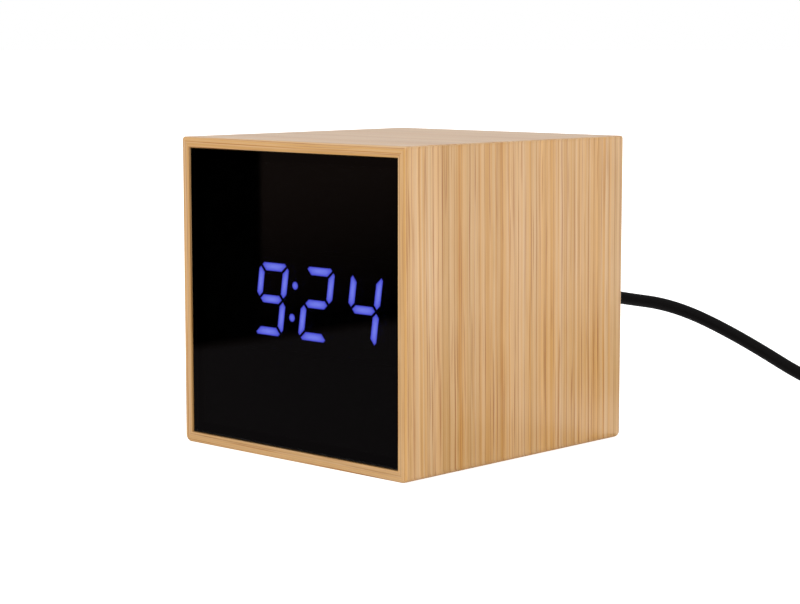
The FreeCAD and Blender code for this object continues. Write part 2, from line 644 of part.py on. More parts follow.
def front_frame():
    wall = block("frame_plate", ("frame_width", "frame_wall", "frame_height"),
                 "0", "frame_front", "frame_low")
    skirt = block("frame_skirt", ("frame_width", "skirt_depth", "frame_height"),
                  "0", "frame_back", "frame_low")
    hollow = block("frame_hollow", ("frame_width - 2 * skirt_thickness", "skirt_depth",
                                    "frame_height - 2 * skirt_thickness"),
                   "0", "frame_back", "frame_low + skirt_thickness")
    notch = block("bay_notch", ("bay_width + 2 * ledge_width + 2 * moulding_clearance", "skirt_depth",
                                "skirt_thickness + 2"),
                  "0", "frame_back", "frame_low - 1")
    solids = [wall, cut("frame_rim", skirt, hollow, notch)]
    holes = [block("display_opening", ("module_width + 2 * module_clearance", "3 * frame_wall",
                                       "module_height + 2 * module_clearance"),
                   "module_offset", "frame_front - frame_wall",
                   "middle_z - module_height / 2 - module_clearance")]
    for number, (x, z) in enumerate(PILLARS, start=1):
        solids.append(block("pillar_%d" % number,
                            ("pillar_side", "cover_inner - frame_back", "pillar_side"),
                            x, "frame_back", z + " - pillar_side / 2"))
        holes.append(rod("pillar_hole_%d" % number, "screw_radius + screw_clearance", "screw_length",
                         x, "cover_inner - screw_length", z))
    for number, (x, z) in enumerate(MAIN_POSTS, start=1):
        solids.append(rod("frame_post_%d" % number, "post_radius", "module_back - frame_back",
                          x, "frame_back", z))
        holes.append(rod("frame_post_hole_%d" % number, "screw_radius + screw_clearance",
                         "short_screw_length", x, "board_back - short_screw_length", z))
    return cut("front_frame", fuse("frame_solid", *solids), *holes)


# Display: a body with a light well for each segment, filled with cast resin

SHOWN = ("", "abcdfg", "abdeg", "bcfg")


def segment_outlines():
    """Corners of the seven segments about a digit's centre, before it slants."""
    half_width, half_height = mm("digit_width") / 2, mm("digit_height") / 2
    stroke, tip = mm("segment_width"), mm("segment_tip")
    gap = mm("segment_gap") / math.sqrt(2)
    inner = half_width - stroke
    axis = half_width - stroke / 2
    top = [(half_width - 2 * tip - gap, half_height), (half_width - tip - gap, half_height - tip),
           (inner - gap, half_height - stroke)]
    top += [(-u, v) for u, v in reversed(top)]
    middle = [(axis - gap, 0), (inner - gap, -stroke / 2), (gap - inner, -stroke / 2),
              (gap - axis, 0), (gap - inner, stroke / 2), (inner - gap, stroke / 2)]
    upright = [(half_width, gap + stroke / 2), (half_width, half_height - 2 * tip - gap),
               (half_width - tip, half_height - tip - gap), (inner, half_height - stroke - gap),
               (inner, gap + stroke / 2), (axis, gap)]
    return {
        "a": top,
        "b": upright,
        "c": [(u, -v) for u, v in upright],
        "d": [(u, -v) for u, v in top],
        "e": [(-u, -v) for u, v in upright],
        "f": [(-u, v) for u, v in upright],
        "g": middle,
    }


def display_cells():
    """The prisms that fill the light wells, lit ones and dark ones, and the wells' cutters."""
    lean = math.tan(math.radians(mm("digit_slant")))
    front, depth, middle_z = mm("module_front"), mm("well_depth"), mm("middle_z")
    lit, dark = [], []
    for position, letters in enumerate(SHOWN):
        centre = mm("module_offset") + (position - (len(SHOWN) - 1) / 2) * mm("digit_pitch")
        for letter, corners in segment_outlines().items():
            points = [Vector(centre + u + v * lean, front, middle_z + v) for u, v in corners]
            face = Part.Face(Part.makePolygon(points + points[:1]))
            prism = face.extrude(Vector(0, depth, 0))
            (lit if letter in letters else dark).append(prism)
    wells = lit + dark
    radius = mm("dot_diameter") / 2
    for side in (-1, 1):
        rise = side * mm("dot_spacing") / 2
        foot = Vector(mm("module_offset") + rise * lean, front, middle_z + rise)
        lit.append(Part.makeCylinder(radius, depth, foot, Vector(0, 1, 0)))
        wells.append(Part.makeCylinder(radius + mm("dot_clearance"), depth, foot, Vector(0, 1, 0)))
    return lit, dark, wells


def pin_places():
    """Where the display's pins stand, across and up."""
    count = int(mm("pins_per_row"))
    return [(mm("module_offset") + (k - (count - 1) / 2) * mm("pin_pitch"),
             mm("middle_z") + side * mm("pin_rows") / 2) for side in (-1, 1) for k in range(count)]


def display():
    lit, dark, wells = display_cells()
    blank = plate("display_blank", "module_width", "module_height", "module_depth",
                  "module_offset", "module_front", "middle_z")
    housing = cut("display_housing", blank, made("light_wells", Part.makeCompound(wells)))
    side, start = mm("pin_side"), mm("module_back")
    reach = mm("board_back") + mm("pin_tail") - start
    pins = [Part.makeBox(side, reach, side, Vector(x - side / 2, start, z - side / 2)) for x, z in pin_places()]
    return [housing, made("lit_segments", Part.makeCompound(lit)),
            made("unlit_segments", Part.makeCompound(dark)), made("display_pins", Part.makeCompound(pins))]


# Boards and what is soldered to them


def board(name, width, thickness, start, posts, *extra_holes):
    """A board with a screw hole at each post."""
    blank = plate(name + "_blank", width, "board_rise", thickness, "0", start,
                  "(board_low + board_high) / 2")
    holes = [rod("%s_hole_%d" % (name, number), "screw_radius + screw_clearance", thickness, x, start, z)
             for number, (x, z) in enumerate(posts, start=1)]
    return cut(name, blank, *holes, *extra_holes)


def ribbon_holder(name, z, start, mouth_to_back):
    """An open-mouthed socket for one end of the ribbon."""
    shell = block(name + "_shell", ("header_width", "header_depth", "header_height"),
                  "0", start, "%s - header_height / 2" % z)
    inside = "%s + header_wall" % start if mouth_to_back else start
    hollow = block(name + "_hollow", ("header_width - 2 * header_wall", "header_depth - header_wall",
                                      "header_height - 2 * header_wall"),
                   "0", inside, "%s - header_height / 2 + header_wall" % z)
    return cut(name, shell, hollow)


def main_board_parts():
    holes = [Part.makeCylinder(mm("pin_hole") / 2, mm("board_thickness"), Vector(x, mm("module_back"), z),
                               Vector(0, 1, 0)) for x, z in pin_places()]
    pin_holes = made("pin_holes", Part.makeCompound(holes))
    crystal = plate("quartz_crystal", "crystal_width", "crystal_height", "crystal_depth",
                    "component_x", "board_back", "middle_z")
    dress(crystal, "Fillet", runs_to_back, Radius="crystal_height / 2.1")
    capacitors = [rod("capacitor_%d" % number, "capacitor_radius", "capacitor_length", "-component_x",
                      "board_back", "middle_z + %d * capacitor_radius * 1.3" % side)
                  for number, side in enumerate((-1, 1), start=1)]
    screws = [screw("main_screw_%d" % number, x, z, "board_back", -1, "short_screw_length", False)
              for number, (x, z) in enumerate(MAIN_POSTS, start=1)]
    return [
        board("main_board", "board_width", "board_thickness", "module_back", MAIN_POSTS, pin_holes),
        plate("clock_chip", "chip_width", "chip_height", "chip_depth", "0", "board_back", "middle_z"),
        crystal,
        group("capacitors", capacitors),
        rod("temperature_sensor", "sensor_radius", "sensor_length", "component_x", "board_back",
            "header_z"),
        ribbon_holder("board_header", "header_z", "board_back", True),
        group("main_board_screws", screws),
    ]


BUTTONS = (("set", -1), ("up", 0), ("down", 1))


def switches():
    """Three tactile switches: square bodies in one piece, each plunger on its own."""
    bodies, plungers = [], []
    for label, side in BUTTONS:
        x = "%d * button_spacing" % side
        blank = block(label + "_switch_blank", ("switch_side", "switch_depth", "switch_side"),
                      x, "small_board_face", "button_z - switch_side / 2")
        bore = rod(label + "_switch_bore", "plunger_radius + plunger_clearance", "switch_depth",
                   x, "small_board_face + switch_floor", "button_z")
        bodies.append(cut(label + "_switch_body", blank, bore))
        plungers.append(turned(label + "_switch_plunger", [
            ("0", "small_board_face + plunger_seat"), ("plunger_radius", "small_board_face + plunger_seat"),
            ("plunger_radius", "plunger_tip - 0.3"), ("plunger_radius - 0.3", "plunger_tip"),
            ("0", "plunger_tip")], x, "button_z"))
    return [group("switch_bodies", bodies)] + plungers


def buttons():
    """Round caps with a collar behind the rear cover."""
    face = "cover_outer + button_proud"
    depth = mm("cover_outer") + mm("button_proud")
    caps = []
    for label, side in BUTTONS:
        owner = turned(label + "_button", [
            ("0", "button_foot"), ("flange_radius", "button_foot"), ("flange_radius", "button_seat"),
            ("button_radius", "button_seat"), ("button_radius", face), ("0", face)],
            "%d * button_spacing" % side, "button_z")
        dress(owner, "Fillet", lambda edge: at_depth(edge, depth), Radius="button_round")
        caps.append(owner)
    return caps


def button_board_parts():
    blank = block("socket_blank", ("socket_width", "socket_mouth - small_board_face", "socket_height"),
                  "0", "small_board_face", "socket_z - socket_height / 2")
    bore = rod("socket_bore", "barrel_radius + barrel_clearance", "socket_mouth - small_board_face",
               "0", "small_board_face + socket_floor", "socket_z")
    pin_radius = "barrel_bore - barrel_clearance"
    root = rod("socket_pin_hole", pin_radius + " + screw_clearance", "2 * socket_floor",
               "0", "small_board_face", "socket_z")
    pin = turned("socket_pin", [
        ("0", "small_board_face"), (pin_radius, "small_board_face"),
        (pin_radius, "socket_mouth - 1.5"), ("0", "socket_mouth - 1.2")], "0", "socket_z")
    can = rod("buzzer_can", "buzzer_radius", "buzzer_depth", "-sound_x", "small_board_face", "sound_z")
    mouth = rod("buzzer_hole", "buzzer_mouth", "buzzer_depth", "-sound_x",
                "small_board_face + buzzer_depth / 2", "sound_z")
    screws = [screw("small_screw_%d" % number, x, z, "small_board_back", 1, "short_screw_length", False)
              for number, (x, z) in enumerate(COVER_POSTS, start=1)]
    return [
        board("button_board", "small_board_width", "small_board_thickness", "small_board_back",
              COVER_POSTS),
        cut("power_socket", blank, bore, root),
        pin,
        cut("buzzer", can, mouth),
        rod("microphone", "microphone_radius", "microphone_depth", "sound_x", "small_board_face",
            "sound_z"),
        ribbon_holder("ribbon_socket", "header_z - ribbon_drop", "small_board_back - header_depth", False),
        group("button_board_screws", screws),
    ]


# Rear cover


def rear_cover():
    owner = body("cover_plate")
    drawing = sketch(owner, "cover_outline")
    rectangle(drawing, "0", "middle_z", "inner_width - 2 * cover_clearance",
              "inner_height - 2 * cover_clearance")
    for _, side in BUTTONS:
        circle(drawing, "%d * button_spacing" % side, "button_z", "button_radius + button_clearance")
    circle(drawing, "0", "socket_z", "nose_radius + nose_clearance")
    circle(drawing, "sound_x", "sound_z", "listening_hole")
    circle(drawing, "-sound_x", "sound_z", "grille_hole")
    for k in range(int(mm("grille_count"))):
        turn = "%d * 360 / grille_count" % k
        circle(drawing, "-sound_x + grille_ring * cos(%s)" % turn, "sound_z + grille_ring * sin(%s)" % turn,
               "grille_hole")
    pad(owner, drawing, "cover_thickness", "cover_inner")
    solids, holes = [owner], []
    for number, (x, z) in enumerate(COVER_POSTS, start=1):
        solids.append(rod("cover_post_%d" % number, "post_radius", "cover_inner - small_board_face",
                          x, "small_board_face", z))
        holes.append(rod("cover_post_hole_%d" % number, "screw_radius + screw_clearance",
                         "short_screw_length", x, "small_board_face", z))
    head, shank = "head_radius + screw_clearance", "screw_radius + screw_clearance"
    for number, (x, z) in enumerate(PILLARS, start=1):
        holes.append(turned("countersink_%d" % number, [
            ("0", "cover_outer + 1"), (head, "cover_outer + 1"), (head, "cover_outer - 0.15"),
            (shank, "cover_outer - head_height * 0.75"), (shank, "cover_inner - 1"),
            ("0", "cover_inner - 1")], x, z))
    cover = cut("rear_cover", fuse("cover_solid", *solids), *holes)
    screws = [screw("cover_screw_%d" % number, x, z, "cover_outer", -1, "screw_length", True)
              for number, (x, z) in enumerate(PILLARS, start=1)]
    return [cover, group("rear_cover_screws", screws)]


# Battery bay: case, cells, contacts, leaf springs and the door


def battery_case():
    outer = block("case_blank", ("bay_width", "bay_length", "bay_top - door_recess"),
                  "0", "bay_front", "door_recess")
    hollow = block("case_hollow", ("bay_inner_width", "bay_inner_length", "bay_ceiling"),
                   "0", "bay_inner_front", "0")
    ledge = block("case_ledge", ("bay_width + 2 * ledge_width", "ledge_length", "ledge_thickness"),
                  "0", "bay_middle - ledge_length / 2", "panel_thickness")
    shell = cut("case_shell", fuse("case_outer", outer, ledge), hollow)
    plate_room = "contact_sheet + contact_gap"
    ribs = [block("case_rib_%d" % number,
                  ("bay_rib", "bay_inner_length - 2 * (%s)" % plate_room, "bay_rib_height"),
                  "%d * cell_pitch / 2" % side, "bay_inner_front + " + plate_room,
                  "bay_ceiling - bay_rib_height")
            for number, side in enumerate((-1, 1), start=1)]
    slots = [block("hinge_slot_%d" % number,
                   ("hinge_tab_width + 2 * door_clearance", "2 * bay_wall", "hinge_slot_rise"),
                   "%d * hinge_tab_spread / 2" % side, "bay_inner_front - 1.5 * bay_wall",
                   "hinge_z - hinge_tab_thickness / 2 - door_clearance")
             for number, side in enumerate((-1, 1), start=1)]
    slots.append(block("latch_notch", ("latch_width", "nib_reach + 1",
                                       "door_thickness + door_clearance + 1"),
                       "0", "bay_inner_back - 1", "door_recess - 1"))
    for name, x, y in (("front", "-cell_pitch", "bay_inner_front"),
                       ("back", "cell_pitch", "bay_inner_back - contact_sheet - contact_gap")):
        slots.append(block("tab_hole_" + name, ("contact_tab + 2 * contact_gap",
                                                "contact_sheet + contact_gap", "2 * bay_roof"),
                           x, y, "bay_ceiling - bay_roof / 2"))
    return cut("battery_case", fuse("case_ribbed", shell, *ribs), *slots)


def battery_cell(number, side, way):
    """One cell; its button points to the back when way is 1."""
    ends = {1: "bay_inner_back - contact_sheet - contact_gap",
            -1: "bay_inner_front + contact_sheet + contact_gap"}
    radius, button = "cell_diameter / 2", "cell_button_radius"
    points = [("0", "0"), (button, "0"), (button, "cell_button_height"),
              (radius + " - cell_bevel", "cell_button_height"), (radius, "cell_button_height + cell_bevel"),
              (radius, "cell_length - cell_bevel"), (radius + " - cell_bevel", "cell_length"),
              ("0", "cell_length")]
    profile = [(r, "(%s) - %d * (%s)" % (ends[way], way, depth)) for r, depth in points]
    return turned("battery_cell_%d" % number, profile, "%d * cell_pitch" % side, "cell_z")


def leaf_spring(name, side, way):
    """A bent strip with its feet on the bay's end and its flat top against a cell."""
    owner = body(name)
    drawing = sketch(owner, name + "_outline", "XY_Plane")
    foot, top, sheet = "spring_span / 2", "spring_span / 4", "spring_sheet"
    right = [(foot, "0"), (top, "spring_depth")]
    inside = [(top + " - 0.5 * " + sheet, "spring_depth - " + sheet), (foot + " - 1.15 * " + sheet, "0")]
    left = [("-(%s)" % u, v) for u, v in right[::-1] + inside[::-1]]
    outline(drawing, [(u, "%d * (%s)" % (way, v)) for u, v in right + left + inside])
    strip = owner.newObject("PartDesign::Pad", name + "_pad")
    strip.Profile = drawing
    bind(strip, Length="spring_width")
    end = "bay_inner_front + contact_sheet" if way == 1 else "bay_inner_back - contact_sheet"
    return place(owner, "%d * cell_pitch" % side, end, "cell_z - spring_width / 2")


def contact_plates():
    """Two single plates with solder tabs and two plates that join neighbouring cells."""
    front, back = "bay_inner_front", "bay_inner_back - contact_sheet"
    low = "cell_z - contact_side / 2"
    single = ("contact_side", "contact_sheet", "contact_side")
    double = ("contact_side + cell_pitch", "contact_sheet", "contact_side")
    tab = ("contact_tab", "contact_sheet", "bay_top + contact_tab_rise - cell_z")
    first = fuse("plate_minus", block("plate_minus_face", single, "-cell_pitch", front, low),
                 block("plate_minus_tab", tab, "-cell_pitch", front, "cell_z"))
    last = fuse("plate_plus", block("plate_plus_face", single, "cell_pitch", back, low),
                block("plate_plus_tab", tab, "cell_pitch", back, "cell_z"))
    return group("battery_contacts", [
        first, last,
        block("plate_bridge_back", double, "-cell_pitch / 2", back, low),
        block("plate_bridge_front", double, "cell_pitch / 2", front, low)])


def battery_door():
    sheet = block("door_sheet", ("door_width", "door_back - hinge_y", "door_thickness"),
                  "0", "hinge_y", "door_recess")
    edge = rod("door_edge", "door_thickness / 2", "door_width", "-door_width / 2", "hinge_y", "hinge_z",
               Vector(1, 0, 0))
    tabs = [block("hinge_tab_%d" % number,
                  ("hinge_tab_width", "hinge_y - bay_inner_front + hinge_tab_reach", "hinge_tab_thickness"),
                  "%d * hinge_tab_spread / 2" % side, "bay_inner_front - hinge_tab_reach",
                  "hinge_z - hinge_tab_thickness / 2")
            for number, side in enumerate((-1, 1), start=1)]
    nib = block("latch_nib", ("latch_width - 2 * latch_slit", "nib_reach", "nib_height"),
                "0", "door_back - contact_gap", "door_top - nib_height")
    slits = [block("latch_slit_%d" % number, ("latch_slit", "latch_length + 1", "2 * door_thickness"),
                   "%d * (latch_width + latch_slit) / 2" % side, "door_back - latch_length",
                   "door_recess - door_thickness / 2")
             for number, side in enumerate((-1, 1), start=1)]
    scoop = rod("finger_scoop", "scoop_radius", "latch_width - 2 * latch_slit",
                "-(latch_width - 2 * latch_slit) / 2", "door_back - latch_length / 2",
                "door_recess + scoop_depth - scoop_radius", Vector(1, 0, 0))
    return cut("battery_door", fuse("door_solid", sheet, edge, nib, *tabs), scoop, *slits)


def battery_bay():
    arrangement = ((1, -1, 1), (2, 0, -1), (3, 1, 1))
    cells = [battery_cell(number, side, way) for number, side, way in arrangement]
    springs = [leaf_spring("leaf_spring_%d" % number, side, way) for number, side, way in arrangement]
    return [battery_case(), *cells, group("battery_springs", springs), contact_plates(), battery_door()]


# Wires: runs joined by arcs, and the coil's turns


def rounded_wire(points):
    """Straight runs joined by tangent arcs, and the arcs' radii."""
    edges, radii = [], []
    start = points[0]
    for before, corner, after in zip(points, points[1:], points[2:]):
        into, out = (corner - before).normalize(), (after - corner).normalize()
        half_turn = into.getAngle(out) / 2
        reach = 0.45 * min((corner - before).Length, (after - corner).Length)
        radii.append(reach / math.tan(half_turn))
        leave, meet = corner - into * reach, corner + out * reach
        weight = math.cos(half_turn)
        middle = (leave + corner * (2 * weight) + meet) / (2 + 2 * weight)
        edges.append(Part.LineSegment(start, leave).toShape())
        edges.append(Part.Arc(leave, middle, meet).toShape())
        start = meet
    edges.append(Part.LineSegment(start, points[-1]).toShape())
    return Part.Wire(edges), radii


def swept(wire, profile):
    """A solid swept along a wire in one unbroken run."""
    shell = Part.BRepOffsetAPI.MakePipeShell(wire)
    shell.add(profile)
    shell.build()
    shell.makeSolid()
    return shell.shape()


def tube(name, wire, radius, start, heading):
    """A round lead along a wire."""
    shape = swept(wire, Part.Wire(Part.makeCircle(radius, start, heading)))
    ideal = wire.Length * math.pi * radius ** 2
    print("%s: length %.1f mm, volume %.4f of section times length"
          % (name, wire.Length, shape.Volume / ideal))
    return made(name, shape)


def lead_route():
    """Corners of the lead from its plug to its coil, chosen by hand along the photographed sag."""
    start, entry, socket = mm("lead_start"), mm("coil_entry"), mm("socket_z")
    return [Vector(0, start, socket), Vector(0, start + 7.5, socket), Vector(0.8, 68.0, 22.35),
            Vector(7.5, 80.0, 20.15), Vector(21.4, 85.2, 13.85), Vector(39.5, 89.7, 3.95),
            Vector(56.6, entry, mm("coil_z")), Vector(mm("coil_x"), entry, mm("coil_z"))]


def smooth(fraction):
    """A soft start and a soft end between nought and one."""
    held = min(max(fraction, 0.0), 1.0)
    return held * held * (3 - 2 * held)


def coil_point(turn):
    """A point of the coil's centre line: it spirals in and out, a layer each way, and ends low."""
    pitch, per_layer, last = mm("turn_pitch"), mm("layer_turns"), mm("coil_turns")
    wound = min(turn, last)
    layer = min(int(wound / per_layer), int(mm("coil_layers")) - 1)
    into = wound - layer * per_layer
    inward = into if layer % 2 == 0 else per_layer - into
    radius = mm("coil_outer") - pitch * inward
    climbs = [smooth((wound - k * per_layer) / mm("climb_turns") + 0.5)
              for k in range(1, int(mm("coil_layers")))]
    height = mm("coil_z") + pitch * sum(climbs)
    if turn > last:
        radius += pitch * smooth((turn - last) / mm("tail_spread_turns"))
        height += (mm("usb_z") - height) * smooth((turn - last) / mm("tail_turns"))
    angle = math.pi / 2 - 2 * math.pi * turn
    return Vector(mm("coil_x") + radius * math.cos(angle), mm("coil_y") + radius * math.sin(angle), height)


def coil_heading(turn, step=0.01):
    return (coil_point(turn + step) - coil_point(turn - step)).normalize()


def coil_stations():
    """Turn counts of the coil's joints: even quarter turns between the ends of its climbs."""
    per_layer, half_climb = mm("layer_turns"), mm("climb_turns") / 2
    marks = [0.0]
    for k in range(1, int(mm("coil_layers"))):
        marks += [k * per_layer - half_climb, k * per_layer, k * per_layer + half_climb]
    marks += [mm("coil_turns"), mm("coil_turns") + mm("tail_turns")]
    stations = [0.0]
    for low, high in zip(marks, marks[1:]):
        count = math.ceil((high - low) / 0.26)
        stations += [low + (high - low) * (k + 1) / count for k in range(count)]
    return stations


def biarc(start, start_heading, end, end_heading):
    """Two arcs that join two points, tangent to a heading at each, and their radii."""
    across = end - start
    both = start_heading + end_heading
    spread = 2 * (1 - start_heading.dot(end_heading))
    along = across.dot(both)
    reach = (math.sqrt(along ** 2 + spread * across.dot(across)) - along) / spread
    first_corner, second_corner = start + start_heading * reach, end - end_heading * reach
    joint = (first_corner + second_corner) / 2
    arcs, radii = [], []
    for a, corner, b in ((start, first_corner, joint), (joint, second_corner, end)):
        weight = (b - a).Length / 2 / reach
        arc = Part.Arc(a, (a + corner * (2 * weight) + b) / (2 + 2 * weight), b).toShape()
        arcs.append(arc)
        radii.append(arc.Curve.Radius)
    return arcs, radii


def coil_wire():
    """The coil's centre line with the straight run into the far plug, and its tightest radius."""
    stations = coil_stations()
    points = [coil_point(turn) for turn in stations]
    headings = [coil_heading(turn) for turn in stations]
    headings[0] = Vector(1, 0, 0)
    headings[-1] = Vector(0, -1, 0)
    edges, radii = [], []
    for k in range(len(stations) - 1):
        arcs, found = biarc(points[k], headings[k], points[k + 1], headings[k + 1])
        edges += arcs
        radii += found
    end = points[-1]
    edges.append(Part.LineSegment(end, end - Vector(0, mm("lead_diameter"), 0)).toShape())
    return Part.Wire(edges), min(radii)


def least_gap(points, diameter, skip):
    """The smallest distance between far-apart stretches of a line, less the lead's diameter."""
    least = float("inf")
    for k, point in enumerate(points):
        for other in points[k + skip:]:
            least = min(least, point.distanceToPoint(other))
    return least - diameter


def cable_tie():
    """A flat band round the coil, fitted to the turns that it holds."""
    angle = math.radians(mm("tie_angle"))
    outward = Vector(math.cos(angle), math.sin(angle), 0)
    along = Vector(-math.sin(angle), math.cos(angle), 0)
    centre = Vector(mm("coil_x"), mm("coil_y"), 0)
    reach, depth, sheet = mm("lead_radius") + mm("tie_clearance"), mm("tie_width"), mm("tie_thickness")
    held = []
    for k in range(int(mm("coil_turns") * 360)):
        offset = coil_point(k / 360) - centre
        if offset.dot(outward) > 0 and abs(offset.dot(along)) < depth / 2 + 0.2:
            held.append((offset.dot(outward), offset.z))
    near, far = min(u for u, _ in held) - reach, max(u for u, _ in held) + reach
    low, high = sheet, max(v for _, v in held) + reach

    def band(grow, radius):
        corner = Vector(near - grow, -depth / 2, low - grow)
        solid = Part.makeBox(far - near + 2 * grow, depth, high - low + 2 * grow, corner)
        return solid.makeFillet(radius, [edge for edge in solid.Edges if runs_to_back(edge)])

    shape = band(sheet, mm("lead_radius")).cut(band(0, mm("lead_radius") - sheet))
    item = made("cable_tie", shape)
    item.Placement = FreeCAD.Placement(centre, FreeCAD.Rotation(Vector(0, 0, 1), mm("tie_angle")))
    return item


def power_lead():
    route, radii = rounded_wire(lead_route())
    print("lead bends, radii in mm: " + ", ".join("%.1f" % radius for radius in radii))
    lead = tube("power_cable", route, mm("lead_radius"), lead_route()[0], Vector(0, 1, 0))
    wound, tightest = coil_wire()
    coil = tube("cable_coil", wound, mm("lead_radius"), coil_point(0), Vector(1, 0, 0))
    line = wound.discretize(Number=2400)
    print("coil: tightest radius %.1f mm, least gap to itself %.2f mm"
          % (tightest, least_gap(line, mm("lead_diameter"), int(2400 * 10 / wound.Length))))
    incoming = route.discretize(Number=300)[:-25]
    nearest = min(a.distanceToPoint(b) for a in incoming for b in line)
    print("coil to the lead that arrives: %.2f mm, lead in all %.0f mm"
          % (nearest - mm("lead_diameter"), route.Length + wound.Length))
    return [lead, coil, cable_tie()]


def battery_leads():
    """Two leads from the contact plates over the case's roof to the main board's back."""
    radius, lie, high = mm("wire_radius"), mm("wire_z"), mm("bay_top") + mm("wire_rise")
    turn_y = mm("board_back") + mm("wire_reach")
    pitch, sheet = mm("cell_pitch"), mm("contact_sheet")
    starts = {"black_battery_lead": (-pitch, mm("bay_inner_front") + sheet, 1),
              "red_battery_lead": (pitch, mm("bay_inner_back") - sheet, -1)}
    leads = []
    for name, (x, y, way) in starts.items():
        wire, radii = rounded_wire([Vector(x, y, lie), Vector(x, turn_y, lie), Vector(x, turn_y, high),
                                    Vector(x, mm("board_back"), high)])
        print("%s bends, radii in mm: %s" % (name, ", ".join("%.1f" % size for size in radii)))
        leads.append(tube(name, wire, radius, Vector(x, y, lie), Vector(0, way, 0)))
    return leads


def board_ribbon():
    """A flat ribbon in a gentle S between its two sockets."""
    start = mm("board_back") + mm("header_wall")
    end = mm("small_board_back") - mm("header_wall")
    high, low = mm("header_z"), mm("header_z") - mm("ribbon_drop")
    middle, sixth = (start + end) / 2, (end - start) / 6
    wire, _ = rounded_wire([Vector(0, start, high), Vector(0, middle - sixth, high),
                            Vector(0, middle + sixth, low), Vector(0, end, low)])
    half_width, half = mm("ribbon_width") / 2, mm("ribbon_thickness") / 2
    corners = [Vector(-half_width, start, high - half), Vector(half_width, start, high - half),
               Vector(half_width, start, high + half), Vector(-half_width, start, high + half)]
    return made("board_ribbon", swept(wire, Part.makePolygon(corners + corners[:1])))


# Plugs


def power_plug():
    barrel = turned("plug_barrel", [
        ("barrel_bore", "nose_face - barrel_length"),
        ("barrel_radius - 0.25", "nose_face - barrel_length"),
        ("barrel_radius", "nose_face - barrel_length + 0.25"), ("barrel_radius", "nose_face"),
        ("barrel_bore", "nose_face")], "0", "socket_z")
    grip = turned("plug_grip", [
        ("0", "nose_face"), ("nose_radius", "nose_face"), ("nose_radius", "grip_start"),
        ("grip_radius", "grip_start"), ("grip_radius", "relief_start"), ("0", "relief_start")],
        "0", "socket_z")
    ends, width = (mm("grip_start"), mm("relief_start")), mm("grip_radius") + mm("nose_radius")
    dress(grip, "Fillet", lambda edge: at_depth(edge, *ends) and edge.BoundBox.XLength > width,
          Radius="grip_round * 0.9")
    relief = turned("plug_relief", [
        ("0", "relief_start"), ("relief_radius", "relief_start"),
        ("lead_radius + relief_skin", "lead_start"), ("0", "lead_start")], "0", "socket_z")
    return [barrel, grip, relief]


def far_plug():
    grip = plate("usb_grip", "usb_width", "usb_thickness", "usb_grip_length", "usb_x", "usb_grip_start",
                 "usb_z")
    dress(grip, "Fillet", runs_to_back, Radius="usb_grip_round")
    relief = turned("usb_relief", [
        ("0", "usb_relief_end"), ("lead_radius + relief_skin", "usb_relief_end"),
        ("usb_relief_radius", "usb_grip_end"), ("0", "usb_grip_end")], "usb_x", "usb_z")
    shell = body("usb_shell")
    drawing = sketch(shell, "usb_shell_outline")
    inner_width, inner_height = "shell_width - 2 * shell_sheet", "shell_height - 2 * shell_sheet"
    rectangle(drawing, "usb_x", "usb_z", "shell_width", "shell_height")
    rectangle(drawing, "usb_x", "usb_z", inner_width, inner_height)
    pad(shell, drawing, "shell_length", "usb_grip_start - shell_length")
    tongue = plate("usb_tongue", inner_width, "tongue_thickness", "shell_length - tongue_setback",
                   "usb_x", "usb_grip_start - shell_length + tongue_setback",
                   "usb_z + (%s - tongue_thickness) / 2" % inner_height)
    return [relief, grip, shell, tongue]


# Everything in the order in which it is put together


def build():
    nodes = []
    nodes += panels()
    nodes += [front_window(), window_tape(), front_frame()]
    nodes += display()
    nodes += main_board_parts()
    nodes += button_board_parts()
    nodes += switches()
    nodes += rear_cover()
    nodes += buttons()
    nodes += battery_bay()
    nodes += battery_leads()
    nodes.append(board_ribbon())
    nodes += power_plug()
    nodes += power_lead()
    nodes += far_plug()
    return nodes


def write_out(nodes):
    """Checks every object and writes each piece to its own file."""
    doc.recompute()
    for item in doc.Objects:
        if "Invalid" in item.State or "Error" in item.State:
            raise RuntimeError("%s is not well made: %s" % (item.Label, item.State))
    os.makedirs("parts", exist_ok=True)
    for item in nodes:
        shape = item.Shape
        if shape.isNull() or not shape.isValid() or not shape.Solids:
            raise RuntimeError("%s has no valid solid" % item.Label)
        shape.exportStep("parts/%s.step" % item.Label)
        box = shape.BoundBox
        print("%-22s solids %2d  volume %9.2f  x %7.2f %7.2f  y %7.2f %7.2f  z %6.2f %6.2f"
              % (item.Label, len(shape.Solids), shape.Volume, box.XMin, box.XMax, box.YMin, box.YMax,
                 box.ZMin, box.ZMax))
    print("%d pieces" % len(nodes))


write_out(build())
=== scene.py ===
"""A cube alarm clock: a mitred bamboo shell, a smoked window, a blue four-digit display and a power lead.

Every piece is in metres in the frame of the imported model. The origin is at the middle of the underside, +Z
is up, the window faces -Y, and the panel that shows beside it faces +X. Sizes are in millimetres until a mesh
is made from them, and patterns are worked out in millimetres too.
"""
import logging
import math
from dataclasses import dataclass
from enum import Enum
from typing import Any

